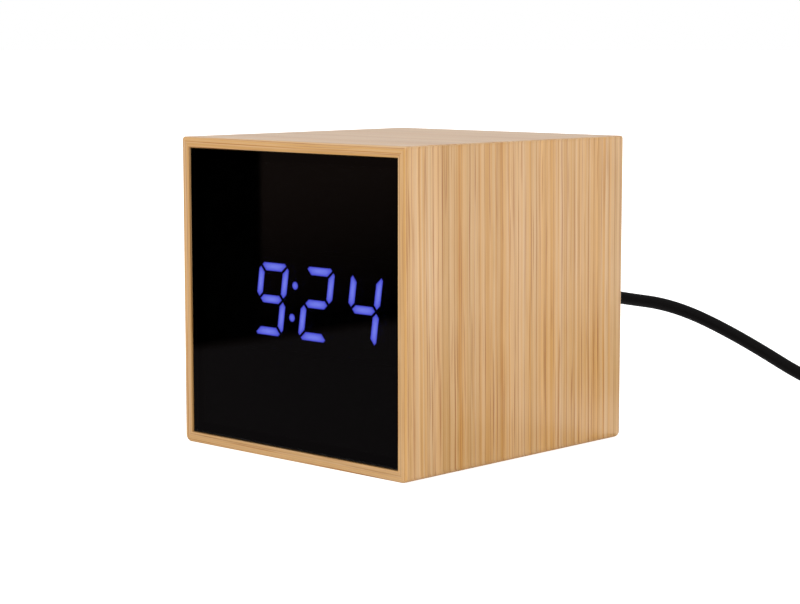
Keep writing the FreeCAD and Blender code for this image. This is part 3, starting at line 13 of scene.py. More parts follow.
import bmesh
import bpy
import numpy as np
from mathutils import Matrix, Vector


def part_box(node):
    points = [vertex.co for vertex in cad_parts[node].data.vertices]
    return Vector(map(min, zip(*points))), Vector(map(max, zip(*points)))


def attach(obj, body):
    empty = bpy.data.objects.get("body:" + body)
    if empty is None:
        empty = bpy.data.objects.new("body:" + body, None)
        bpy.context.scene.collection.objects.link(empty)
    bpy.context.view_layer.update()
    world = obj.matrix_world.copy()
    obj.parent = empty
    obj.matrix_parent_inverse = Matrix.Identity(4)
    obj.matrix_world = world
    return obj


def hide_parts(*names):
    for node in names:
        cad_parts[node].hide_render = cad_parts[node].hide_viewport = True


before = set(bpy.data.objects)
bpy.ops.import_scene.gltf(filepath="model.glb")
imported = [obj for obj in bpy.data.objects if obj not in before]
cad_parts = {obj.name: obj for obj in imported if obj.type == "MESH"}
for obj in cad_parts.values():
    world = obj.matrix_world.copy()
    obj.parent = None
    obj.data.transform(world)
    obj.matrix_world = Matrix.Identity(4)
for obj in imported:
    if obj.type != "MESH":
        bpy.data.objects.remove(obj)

log = logging.getLogger("cube_alarm_clock")
MM = 0.001
CLOCK = "clock"
# Nearly all values of a noise texture lie between these two
NOISE_SPAN = (0.3, 0.7)


# Small tools for colours, nodes and meshes


def linear(code: str) -> tuple[float, float, float, float]:
    """Turns an sRGB hex colour into linear light.

    Args:
        code: The colour as "#rrggbb".

    Returns:
        Red, green, blue and an alpha of 1.
    """
    parts = np.array([int(code[i:i + 2], 16) / 255 for i in (1, 3, 5)])
    light = np.where(parts <= 0.04045, parts / 12.92, ((parts + 0.055) / 1.055) ** 2.4)
    return (*(float(part) for part in light), 1.0)


def grow(tree: bpy.types.NodeTree, kind: str, inputs: dict | None = None,
         stops: tuple[tuple[float, str], ...] = (), **settings: Any) -> bpy.types.Node:
    """Adds one node with its settings and its links.

    Args:
        tree: The node tree that takes the node.
        kind: The node's type, less the "ShaderNode" that each type starts with.
        inputs: For a socket's name or number, a value, an output, or a node that stands for its first output.
        stops: A colour ramp's places from 0 to 1, with their sRGB hex colours.
        settings: The node's own properties.

    Returns:
        The new node.
    """
    node = tree.nodes.new("ShaderNode" + kind)
    for name, value in settings.items():
        setattr(node, name, value)
    for name, value in (inputs or {}).items():
        source = value.outputs[0] if isinstance(value, bpy.types.Node) else value
        if isinstance(source, bpy.types.NodeSocket):
            tree.links.new(source, node.inputs[name])
        else:
            node.inputs[name].default_value = source
    for number, (place, code) in enumerate(stops):
        marks = node.color_ramp.elements
        mark = marks[number] if number < len(marks) else marks.new(1.0)
        mark.position, mark.color = place, linear(code)
    return node


def place_in_mm(tree: bpy.types.NodeTree, turn: tuple[float, float, float] = (0, 0, 0)) -> bpy.types.Node:
    """The place on the piece in millimetres, from its Object coordinates, turned about the origin."""
    here = grow(tree, "TexCoord").outputs["Object"]
    return grow(tree, "Mapping", {"Vector": here, "Rotation": turn, "Scale": (1000, 1000, 1000)})


def lattice(rows: int, columns: int) -> np.ndarray:
    """Corner numbers of the faces of a grid of points whose last column joins the first.

    Args:
        rows: Points along the first parameter.
        columns: Points along the second one, round the piece.

    Returns:
        An array of four corner numbers for each face.
    """
    start = np.arange(rows - 1)[:, None] * columns
    here = np.arange(columns)[None, :]
    beside = (here + 1) % columns
    return np.stack([start + here, start + beside, start + beside + columns, start + here + columns],
                    axis=-1).reshape(-1, 4)


def closed_piece(name: str, grids: list[np.ndarray], marks: dict[str, list[np.ndarray]] | None = None,
                 smooth_below: float = 40.0) -> bpy.types.Object:
    """One object of closed surfaces, each a grid whose first and last rows shrink to a point or a line.

    Args:
        name: The object's name.
        grids: Arrays of rows by columns by 3, in millimetres; columns run round and join up.
        marks: Named values for each point of each grid.
        smooth_below: Edges that turn less than this, in degrees, are shaded smooth.

    Returns:
        The object, as faced_piece makes it.
    """
    points = np.concatenate([grid.reshape(-1, 3) for grid in grids])
    starts = np.cumsum([0] + [grid.shape[0] * grid.shape[1] for grid in grids])
    faces = np.concatenate([lattice(grid.shape[0], grid.shape[1]) + start
                            for grid, start in zip(grids, starts)])
    return faced_piece(name, points, faces, marks, smooth_below)


def faced_piece(name: str, points: np.ndarray, faces: np.ndarray,
                marks: dict[str, list[np.ndarray]] | None = None,
                smooth_below: float = 40.0) -> bpy.types.Object:
    """One object of the given points and faces.

    Args:
        name: The object's name.
        points: Rows of three, in millimetres.
        faces: Corner numbers of closed surfaces.
        marks: Named values for the points, kept as attributes for the material.
        smooth_below: Edges that turn less than this, in degrees, are shaded smooth.

    Returns:
        The object, at the origin, with its doubles merged and its faces outwards.
    """
    mesh = bpy.data.meshes.new(name)
    mesh.from_pydata((points * MM).tolist(), [], faces.tolist())
    for mark, values in (marks or {}).items():
        layer = mesh.attributes.new(mark, "FLOAT", "POINT")
        every = np.concatenate([value.ravel() for value in values])
        layer.data.foreach_set("value", every.astype(np.float32))
    work = bmesh.new()
    work.from_mesh(mesh)
    bmesh.ops.remove_doubles(work, verts=work.verts, dist=2e-6)
    bmesh.ops.dissolve_degenerate(work, edges=work.edges, dist=1e-7)
    bmesh.ops.recalc_face_normals(work, faces=work.faces)
    work.to_mesh(mesh)
    work.free()
    mesh.shade_smooth()
    mesh.set_sharp_from_angle(angle=math.radians(smooth_below))
    made = bpy.data.objects.new(name, mesh)
    bpy.context.scene.collection.objects.link(made)
    return made


def turned_grid(along: np.ndarray, radius: np.ndarray, axis: tuple[float, float],
                columns: int) -> np.ndarray:
    """A turned surface about an axis that runs front to back.

    The point at station u and angle v is (x0 + r(u) cos v, y(u), z0 + r(u) sin v). The radius may be given
    for each angle too.

    Args:
        along: Stations y(u), in millimetres.
        radius: r(u), or r(u, v) as rows by columns.
        axis: x0 and z0.
        columns: Points round.

    Returns:
        The grid of points.
    """
    angle = np.linspace(0, 2 * np.pi, columns, endpoint=False)[None, :]
    reach = radius if radius.ndim == 2 else np.repeat(radius[:, None], columns, axis=1)
    return np.stack([axis[0] + reach * np.cos(angle), np.repeat(along[:, None], columns, axis=1),
                     axis[1] + reach * np.sin(angle)], axis=-1)


def box_in_mm(node: str) -> tuple[np.ndarray, np.ndarray]:
    """The lowest and the highest corner of a CAD solid, in millimetres."""
    low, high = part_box(node)
    return np.array(low) / MM, np.array(high) / MM


def ease(fraction: np.ndarray) -> np.ndarray:
    """The smooth step 3 f squared less 2 f cubed, held between 0 and 1."""
    held = np.clip(fraction, 0, 1)
    return held * held * (3 - 2 * held)


def aim(made: bpy.types.Object, way: Vector) -> None:
    """Turns a camera or lamp so that it looks along a direction, with the top of its view upwards."""
    made.rotation_mode = "QUATERNION"
    made.rotation_quaternion = way.to_track_quat("-Z", "Y")


def put_on(piece: bpy.types.Object, made: bpy.types.Material) -> None:
    """Gives every material slot of a piece the one material.

    Args:
        piece: The piece; it gets a slot if it has none.
        made: The material.
    """
    if not piece.material_slots:
        piece.data.materials.append(made)
    for slot in piece.material_slots:
        slot.material = made


# Finishes


@dataclass(frozen=True)
class Finish:
    """What a piece is made of and how its surface was worked.

    The colour and roughness stand on the shader's own sockets; shade adds what varies over the surface.
    """

    title: str
    colour: str
    roughness: float = 0.5

    def sockets(self) -> dict[str, Any]:
        """Further numbers of the shader that are the same all over."""
        return {}

    def shade(self, tree: bpy.types.NodeTree, shader: bpy.types.Node) -> None:
        """Adds the finish's pattern to the material's tree and its shader; a plain finish has none."""

    def material(self) -> bpy.types.Material:
        """Builds the material.

        Returns:
            The material, with one Principled shader.
        """
        made = bpy.data.materials.new(self.title)
        made.use_nodes = True
        made.diffuse_color = linear(self.colour)
        tree = made.node_tree
        tree.nodes.clear()
        shader = grow(tree, "BsdfPrincipled",
                      {"Base Color": linear(self.colour), "Roughness": self.roughness, **self.sockets()})
        grow(tree, "OutputMaterial", {"Surface": shader})
        self.shade(tree, shader)
        return made

    def paint(self, tree: bpy.types.NodeTree, shader: bpy.types.Node,
              **sources: bpy.types.NodeSocket) -> None:
        """Links outputs to the shader's sockets, whose names have underscores for spaces here."""
        for name, source in sources.items():
            tree.links.new(source, shader.inputs[name.replace("_", " ")])

    def bump(self, tree: bpy.types.NodeTree, shader: bpy.types.Node, height: bpy.types.NodeSocket,
             depth_mm: float, strength: float = 1.0) -> None:
        """Raises the surface by a height from 0 to 1, at most depth_mm deep."""
        lifted = grow(tree, "Bump", {"Height": height, "Distance": depth_mm * MM, "Strength": strength})
        self.paint(tree, shader, Normal=lifted.outputs[0])


class Grain(Enum):
    """The way that a panel's fibres run, and the way through its thickness."""

    UPRIGHT = ("Z", "X")
    LEVEL = ("X", "Z")


@dataclass(frozen=True)
class Streak:
    """Noise drawn out along the grain.

    It has so many changes a millimetre across the grain and along it, with so many finer levels on top.
    """

    across: float
    along: float
    levels: float
    share: float = 1.0


@dataclass(frozen=True)
class LaminatedBamboo(Finish):
    """Laminated bamboo, sanded and oiled.

    Narrow strips of differing tone meet at sharp edges, so the wood reads as laminate and not as sawn timber.
    Fine dark lines and short fibres run along it, and the thin oil pales it where it is seen at a flat angle.
    """

    grain: Grain = Grain.UPRIGHT
    offset: float = 0.0
    # Widths in millimetres with their shares of the tone: strips, the culm's layers, and bundles of fibres
    strips: tuple[tuple[float, float], ...] = (
        (7.5, 0.26), (3.6, 0.22), (1.7, 0.12), (0.9, 0.14), (0.38, 0.34))
    tones: tuple[tuple[float, str], ...] = (
        (0.05, "#a36d28"), (0.30, "#b5894e"), (0.52, "#be9664"), (0.75, "#c6a075"), (1.0, "#ceac89"))
    hues: tuple[tuple[float, str], ...] = ((0.1, "#f0f7ff"), (0.5, "#f7f4ec"), (0.9, "#fbebb0"))
    # Real glue lines are 0.05 mm wide and single fibres 0.02 mm, too fine to show, so both are drawn coarser
    line_spacing: float = 1.6
    line_width: float = 0.21
    line_colour: str = "#8b5100"
    fibre: Streak = Streak(1.7, 0.035, 3.0, 0.45)
    mottle: Streak = Streak(0.4, 0.1, 2.0, 0.18)
    cloud: Streak = Streak(0.08, 0.04, 1.0, 0.3)
    line_softness: float = 0.3
    # Where the dark lines fade: the noise's values from the faintest to the darkest, and how dark those are
    fading: Streak = Streak(0.8, 0.035, 2.0)
    fading_span: tuple[float, float] = (0.38, 0.66)
    fading_shares: tuple[float, float] = (0.1, 0.95)
    # Where vessels lie open: the values at which a fleck begins and is full, and how dark it is
    vessels: Streak = Streak(2.1, 0.03, 2.0)
    vessel_span: tuple[float, float] = (0.59, 0.68)
    vessel_share: float = 0.7
    # The fibres run a little out of true: by this many millimetres to and fro, and by this slope
    wander: Streak = Streak(0.09, 0.03, 1.0, 0.6)
    run_out: float = 0.012
    # Steps that take each pattern from another stretch of the noise
    panel_step: float = 1.7
    hue_step: float = 57.3
    line_step: float = 31.7
    # The relief: its depth in millimetres, how far it shows, and how deep a line is against a fibre
    groove_mm: float = 0.03
    groove_strength: float = 0.35
    line_cut: float = 1.2
    # How far the roughness goes down and up, and how much each finer level of a noise counts
    haze: tuple[float, float] = (-0.08, 0.08)
    falloff: float = 0.55

    def sockets(self) -> dict[str, Any]:
        """A thin coat of oil with a soft sheen."""
        return {"Specular IOR Level": 0.38, "Coat Weight": 0.6, "Coat Roughness": 0.28}

    def shade(self, tree: bpy.types.NodeTree, shader: bpy.types.Node) -> None:
        """Adds strips and streaks for the tone, a tint for each strip, and dark lines and flecks.

        Args:
            tree: The material's node tree.
            shader: Its shader.
        """
        along_name, through_name = self.grain.value
        part = grow(tree, "SeparateXYZ", {0: place_in_mm(tree)}).outputs
        along = part[along_name]
        level = grow(tree, "Math", {0: part[through_name], 1: self.panel_step, 2: part["Y"]},
                     operation="MULTIPLY_ADD")
        slanted = grow(tree, "Math", {0: along, 1: self.run_out, 2: level}, operation="MULTIPLY_ADD")
        moved = grow(tree, "Math", {0: slanted, 1: self.offset}, operation="ADD")
        drift = self.streaks(tree, moved, along, self.wander)
        across = grow(tree, "Math", {0: drift, 1: self.wander.share, 2: moved}, operation="MULTIPLY_ADD")
        fibre = self.streaks(tree, across, along, self.fibre)
        mottle = self.streaks(tree, across, along, self.mottle)
        cloud = self.streaks(tree, across, along, self.cloud)
        tone = self.laminate(tree, across)
        for noise, streak in ((cloud, self.cloud), (mottle, self.mottle), (fibre, self.fibre)):
            centred = grow(tree, "Math", {0: noise, 1: 0.5}, operation="SUBTRACT")
            tone = grow(tree, "Math", {0: centred, 1: streak.share, 2: tone}, operation="MULTIPLY_ADD")
        elsewhere = grow(tree, "Math", {0: across, 1: self.hue_step}, operation="ADD")
        wood = grow(tree, "ValToRGB", {"Fac": tone}, self.tones)
        hue = grow(tree, "ValToRGB", {"Fac": self.laminate(tree, elsewhere)}, self.hues)
        tinted = grow(tree, "Mix", {0: 1.0, 6: wood, 7: hue}, data_type="RGBA", blend_type="MULTIPLY")
        line = self.glue_lines(tree, across, along)
        lined = grow(tree, "Mix", {0: line, 6: tinted.outputs[2], 7: linear(self.line_colour)},
                     data_type="RGBA")
        rough = grow(tree, "MapRange", {"Value": fibre, "To Min": self.roughness + self.haze[0],
                                        "To Max": self.roughness + self.haze[1]})
        self.paint(tree, shader, Base_Color=lined.outputs[2], Roughness=rough.outputs[0])
        grooves = grow(tree, "Math", {0: line, 1: -self.line_cut, 2: fibre}, operation="MULTIPLY_ADD")
        self.bump(tree, shader, grooves.outputs[0], self.groove_mm, self.groove_strength)

    def streaks(self, tree: bpy.types.NodeTree, across: bpy.types.Node, along: bpy.types.NodeSocket,
                streak: Streak) -> bpy.types.Node:
        """Noise drawn out along the grain.

        Args:
            tree: The material's node tree.
            across: The place across the grain, in millimetres.
            along: The place along it.
            streak: Its measures.

        Returns:
            The noise, from 0 to 1.
        """
        flat = grow(tree, "CombineXYZ", {0: across, 1: along})
        drawn = grow(tree, "VectorMath", {0: flat, 1: (streak.across, streak.along, 0)}, operation="MULTIPLY")
        return grow(tree, "TexNoise", {"Vector": drawn, "Scale": 1.0, "Detail": streak.levels,
                                       "Roughness": self.falloff})

    def laminate(self, tree: bpy.types.NodeTree, across: bpy.types.Node) -> bpy.types.Node:
        """The weighted tones of strips of several widths: each cell of a one-way Voronoi has its own tone.

        Args:
            tree: The material's node tree.
            across: The place across the grain, in millimetres.

        Returns:
            The sum, from 0 to about 1.
        """
        total: Any = 0.0
        for width, weight in self.strips:
            cells = grow(tree, "TexVoronoi", {"W": across, "Scale": 1 / width, "Randomness": 1.0},
                         voronoi_dimensions="1D")
            value = grow(tree, "SeparateColor", {0: cells.outputs["Color"]})
            total = grow(tree, "Math", {0: value, 1: weight, 2: total}, operation="MULTIPLY_ADD")
        return total

    def glue_lines(self, tree: bpy.types.NodeTree, across: bpy.types.Node,
                   along: bpy.types.NodeSocket) -> bpy.types.Node:
        """Fine dark lines where two strips meet, which fade in and out, and short dark flecks of vessels.

        Args:
            tree: The material's node tree.
            across: The place across the grain, in millimetres.
            along: The place along it.

        Returns:
            How dark the place is, from 0 to 1.
        """
        shifted = grow(tree, "Math", {0: across, 1: self.line_step}, operation="ADD")
        edge = grow(tree, "TexVoronoi", {"W": shifted, "Scale": 1 / self.line_spacing, "Randomness": 1.0},
                    voronoi_dimensions="1D", feature="DISTANCE_TO_EDGE")
        half = self.line_width / 2 / self.line_spacing
        thin = grow(tree, "MapRange", {"Value": edge, "From Min": half * (1 - self.line_softness),
                                       "From Max": half * (1 + self.line_softness),
                                       "To Min": 1.0, "To Max": 0.0})
        held = self.streaks(tree, across, along, self.fading)
        shown = grow(tree, "MapRange", {"Value": held, "From Min": self.fading_span[0],
                                        "From Max": self.fading_span[1], "To Min": self.fading_shares[0],
                                        "To Max": self.fading_shares[1]})
        lines = grow(tree, "Math", {0: thin, 1: shown}, operation="MULTIPLY")
        vessel = self.streaks(tree, across, along, self.vessels)
        flecks = grow(tree, "MapRange", {"Value": vessel, "From Min": self.vessel_span[0],
                                         "From Max": self.vessel_span[1], "To Min": 0.0,
                                         "To Max": self.vessel_share})
        return grow(tree, "Math", {0: lines, 1: flecks}, operation="MAXIMUM")


@dataclass(frozen=True)
class SmokedAcrylic(Finish):
    """Cast acrylic dyed near-black and polished.

    It hides the works and lets a tenth of the display's light through, and its face mirrors the dark room.
    """

    def sockets(self) -> dict[str, Any]:
        """Clear acrylic's refraction; the colour does the smoking."""
        return {"IOR": 1.49, "Transmission Weight": 1.0}


@dataclass(frozen=True)
class MouldedPlastic(Finish):
    """Moulded plastic from a spark-eroded tool: its fine texture breaks up the highlights.

    Where the mould filled unevenly, patches about a centimetre across are a little glossier.
    """

    # A spark-eroded texture has grains of about 0.04 mm, too fine to show, so they are drawn coarser
    texture_mm: float = 0.16
    depth_mm: float = 0.012
    patch_mm: float = 11.11
    # How far the roughness goes down and up from patch to patch
    haze: tuple[float, float] = (-0.06, 0.08)

    def shade(self, tree: bpy.types.NodeTree, shader: bpy.types.Node) -> None:
        """Adds the spark texture's bump and the patches of gloss.

        Args:
            tree: The material's node tree.
            shader: Its shader.
        """
        here = place_in_mm(tree)
        grit = grow(tree, "TexNoise", {"Vector": here, "Scale": 1 / self.texture_mm, "Detail": 2.0})
        patch = grow(tree, "TexNoise", {"Vector": here, "Scale": 1 / self.patch_mm, "Detail": 2.0})
        rough = grow(tree, "MapRange", {"Value": patch, "From Min": NOISE_SPAN[0],
                                        "From Max": NOISE_SPAN[1], "To Min": self.roughness + self.haze[0],
                                        "To Max": self.roughness + self.haze[1]})
        self.paint(tree, shader, Roughness=rough.outputs[0])
        self.bump(tree, shader, grit.outputs[0], self.depth_mm)


@dataclass(frozen=True)
class LitResin(Finish):
    """Diffusing resin over blue light-emitting chips: each segment is brightest along its middle."""

    glow: tuple[tuple[float, str], ...] = ((0.0, "#2c2c9a"), (0.25, "#5157de"), (1.0, "#7f8aff"))
    strength: float = 8.3

    def sockets(self) -> dict[str, Any]:
        """The light's strength."""
        return {"Emission Strength": self.strength}

    def shade(self, tree: bpy.types.NodeTree, shader: bpy.types.Node) -> None:
        """Colours the light by the piece's own glow attribute.

        Args:
            tree: The material's node tree.
            shader: Its shader.
        """
        share = grow(tree, "Attribute", attribute_name="glow").outputs["Fac"]
        light = grow(tree, "ValToRGB", {"Fac": share}, self.glow)
        self.paint(tree, shader, Emission_Color=light.outputs[0])


@dataclass(frozen=True)
class LitPaper(Finish):
    """Matt white paper on a light table: it is white from below too, so shadows on it stay pale."""

    strength: float = 0.75

    def sockets(self) -> dict[str, Any]:
        """The white light that comes through the sheet."""
        return {"Emission Color": linear("#ffffff"), "Emission Strength": self.strength}


@dataclass(frozen=True)
class CastResin(Finish):
    """Filled casting resin: smooth, with a faint cloudiness that keeps it from looking painted."""

    cloud: str = "#3c3e43"
    cloud_mm: float = 0.7143

    def shade(self, tree: bpy.types.NodeTree, shader: bpy.types.Node) -> None:
        """Adds the clouds.

        Args:
            tree: The material's node tree.
            shader: Its shader.
        """
        here = place_in_mm(tree)
        drift = grow(tree, "TexNoise", {"Vector": here, "Scale": 1 / self.cloud_mm, "Detail": 3.0})
        tone = grow(tree, "ValToRGB", {"Fac": drift}, ((0.3, self.colour), (0.75, self.cloud)))
        self.paint(tree, shader, Base_Color=tone.outputs[0])


@dataclass(frozen=True)
class LacqueredBoard(Finish):
    """Glass-fibre laminate under green lacquer: paler tracks show through the gloss."""

    tracks: str = "#1f6b3c"
    field_mm: float = 2.381
    # Half of a track's width, in parts of a field, from its full height to its foot
    track_edge: tuple[float, float] = (0.05, 0.09)
    track_rise_mm: float = 0.03
    track_strength: float = 0.5

    def sockets(self) -> dict[str, Any]:
        """The lacquer's gloss."""
        return {"Coat Weight": 0.5, "Coat Roughness": 0.12}

    def shade(self, tree: bpy.types.NodeTree, shader: bpy.types.Node) -> None:
        """Adds tracks between square fields, and raises them.

        Args:
            tree: The material's node tree.
            shader: Its shader.
        """
        flat = place_in_mm(tree, turn=(math.pi / 2, 0, 0))
        maze = grow(tree, "TexVoronoi", {"Vector": flat, "Scale": 1 / self.field_mm, "Randomness": 0.9},
                    distance="CHEBYCHEV", feature="DISTANCE_TO_EDGE")
        line = grow(tree, "MapRange", {"Value": maze, "From Min": self.track_edge[0],
                                       "From Max": self.track_edge[1], "To Min": 1.0, "To Max": 0.0})
        tone = grow(tree, "ValToRGB", {"Fac": line}, ((0.0, self.colour), (1.0, self.tracks)))
        self.paint(tree, shader, Base_Color=tone.outputs[0])
        self.bump(tree, shader, line.outputs[0], self.track_rise_mm, self.track_strength)


@dataclass(frozen=True)
class PlatedMetal(Finish):
    """Plated steel, drawn or brushed one way: a soft mirror with a haze that varies from place to place."""

    # Changes a millimetre along each axis. Real drawing marks are finer than 0.05 mm and drawn coarser here
    brushed: tuple[float, float, float] = (6.0, 0.4, 6.0)
    mark_mm: float = 0.003
    # How far the roughness goes down and up along the marks
    haze: tuple[float, float] = (-0.08, 0.12)

    def sockets(self) -> dict[str, Any]:
        """Bare metal all over."""
        return {"Metallic": 1.0}

    def shade(self, tree: bpy.types.NodeTree, shader: bpy.types.Node) -> None:
        """Adds the drawing marks, as haze and as bump.

        Args:
            tree: The material's node tree.
            shader: Its shader.
        """
        drawn = grow(tree, "VectorMath", {0: place_in_mm(tree), 1: self.brushed}, operation="MULTIPLY")
        hair = grow(tree, "TexNoise", {"Vector": drawn, "Scale": 1.0, "Detail": 3.0})
        rough = grow(tree, "MapRange", {"Value": hair, "To Min": self.roughness + self.haze[0],
                                        "To Max": self.roughness + self.haze[1]})
        self.paint(tree, shader, Roughness=rough.outputs[0])
        self.bump(tree, shader, hair.outputs[0], self.mark_mm)


@dataclass(frozen=True)
class VinylJacket(Finish):
    """Extruded soft vinyl: a dull sheen along the lead, a little uneven where the die dragged."""

    ripple_mm: float = 0.5
    specular: float = 0.5
    ripple_depth_mm: float = 0.008
    # How far the roughness goes down and up with the ripples
    haze: tuple[float, float] = (-0.05, 0.07)

    def sockets(self) -> dict[str, Any]:
        """How much the skin shines."""
        return {"Specular IOR Level": self.specular}

    def shade(self, tree: bpy.types.NodeTree, shader: bpy.types.Node) -> None:
        """Adds the ripples of the skin.

        Args:
            tree: The material's node tree.
            shader: Its shader.
        """
        here = place_in_mm(tree)
        skin = grow(tree, "TexNoise", {"Vector": here, "Scale": 1 / self.ripple_mm, "Detail": 3.0})
        rough = grow(tree, "MapRange", {"Value": skin, "From Min": NOISE_SPAN[0],
                                        "From Max": NOISE_SPAN[1], "To Min": self.roughness + self.haze[0],
                                        "To Max": self.roughness + self.haze[1]})
        self.paint(tree, shader, Roughness=rough.outputs[0])
        self.bump(tree, shader, skin.outputs[0], self.ripple_depth_mm)


@dataclass(frozen=True)
class RibbonVinyl(Finish):
    """Ribbon cable: eight vinyl cores side by side, of which the first is marked red."""

    core_mm: float = 1.0
    core_rise_mm: float = 0.25
    # The marked core lies to the left of this place, in millimetres
    marked_beyond: float = -3.0
    mark: str = "#b3322b"

    def shade(self, tree: bpy.types.NodeTree, shader: bpy.types.Node) -> None:
        """Adds the marked core's colour and rounds every core.

        Args:
            tree: The material's node tree.
            shader: Its shader.
        """
        across = grow(tree, "SeparateXYZ", {0: place_in_mm(tree)}).outputs["X"]
        first = grow(tree, "Math", {0: across, 1: self.marked_beyond}, operation="LESS_THAN")
        tone = grow(tree, "ValToRGB", {"Fac": first}, ((0.0, self.colour), (1.0, self.mark)))
        self.paint(tree, shader, Base_Color=tone.outputs[0])
        turn = grow(tree, "Math", {0: across, 1: math.pi / self.core_mm}, operation="MULTIPLY")
        wave = grow(tree, "Math", {0: turn}, operation="SINE")
        cores = grow(tree, "Math", {0: wave}, operation="ABSOLUTE")
        self.bump(tree, shader, cores.outputs[0], self.core_rise_mm)


@dataclass(frozen=True)
class FoilJacket(Finish):
    """A cell's shrunk foil jacket: one plain colour with a bright band round the positive end."""

    band: str = "#c9a24a"
    # The band starts this far behind the clock's middle, in millimetres, or before it where way is -1
    band_from: float = 12.0
    way: int = 1

    def sockets(self) -> dict[str, Any]:
        """Printed foil under a clear skin."""
        return {"Metallic": 0.55, "Coat Weight": 0.6, "Coat Roughness": 0.15}

    def shade(self, tree: bpy.types.NodeTree, shader: bpy.types.Node) -> None:
        """Adds the bright band at the cell's positive end.

        Args:
            tree: The material's node tree.
            shader: Its shader.
        """
        along = grow(tree, "SeparateXYZ", {0: place_in_mm(tree)}).outputs["Y"]
        towards = grow(tree, "Math", {0: along, 1: float(self.way)}, operation="MULTIPLY")
        end = grow(tree, "Math", {0: towards, 1: self.band_from}, operation="GREATER_THAN")
        tone = grow(tree, "ValToRGB", {"Fac": end}, ((0.0, self.colour), (1.0, self.band)))
        self.paint(tree, shader, Base_Color=tone.outputs[0])


# Pieces and what they wear


def stand_in(piece: bpy.types.Object, finish: Finish, *nodes: str) -> bpy.types.Object:
    """Dresses a new piece, which rides on the clock, and puts it in the place of its CAD solids.

    Args:
        piece: The new piece.
        finish: What it is made of.
        nodes: The solids that it stands for.

    Returns:
        The piece.
    """
    put_on(piece, finish.material())
    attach(piece, CLOCK)
    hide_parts(*nodes)
    return piece


def dress(finish: Finish, *nodes: str) -> None:
    """Gives CAD pieces one material between them.

    Args:
        finish: What they are made of.
        nodes: The pieces' names.
    """
    made = finish.material()
    for node in nodes:
        put_on(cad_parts[node], made)


# Studio: the camera at the photograph's angle, a pale floor and soft light all round


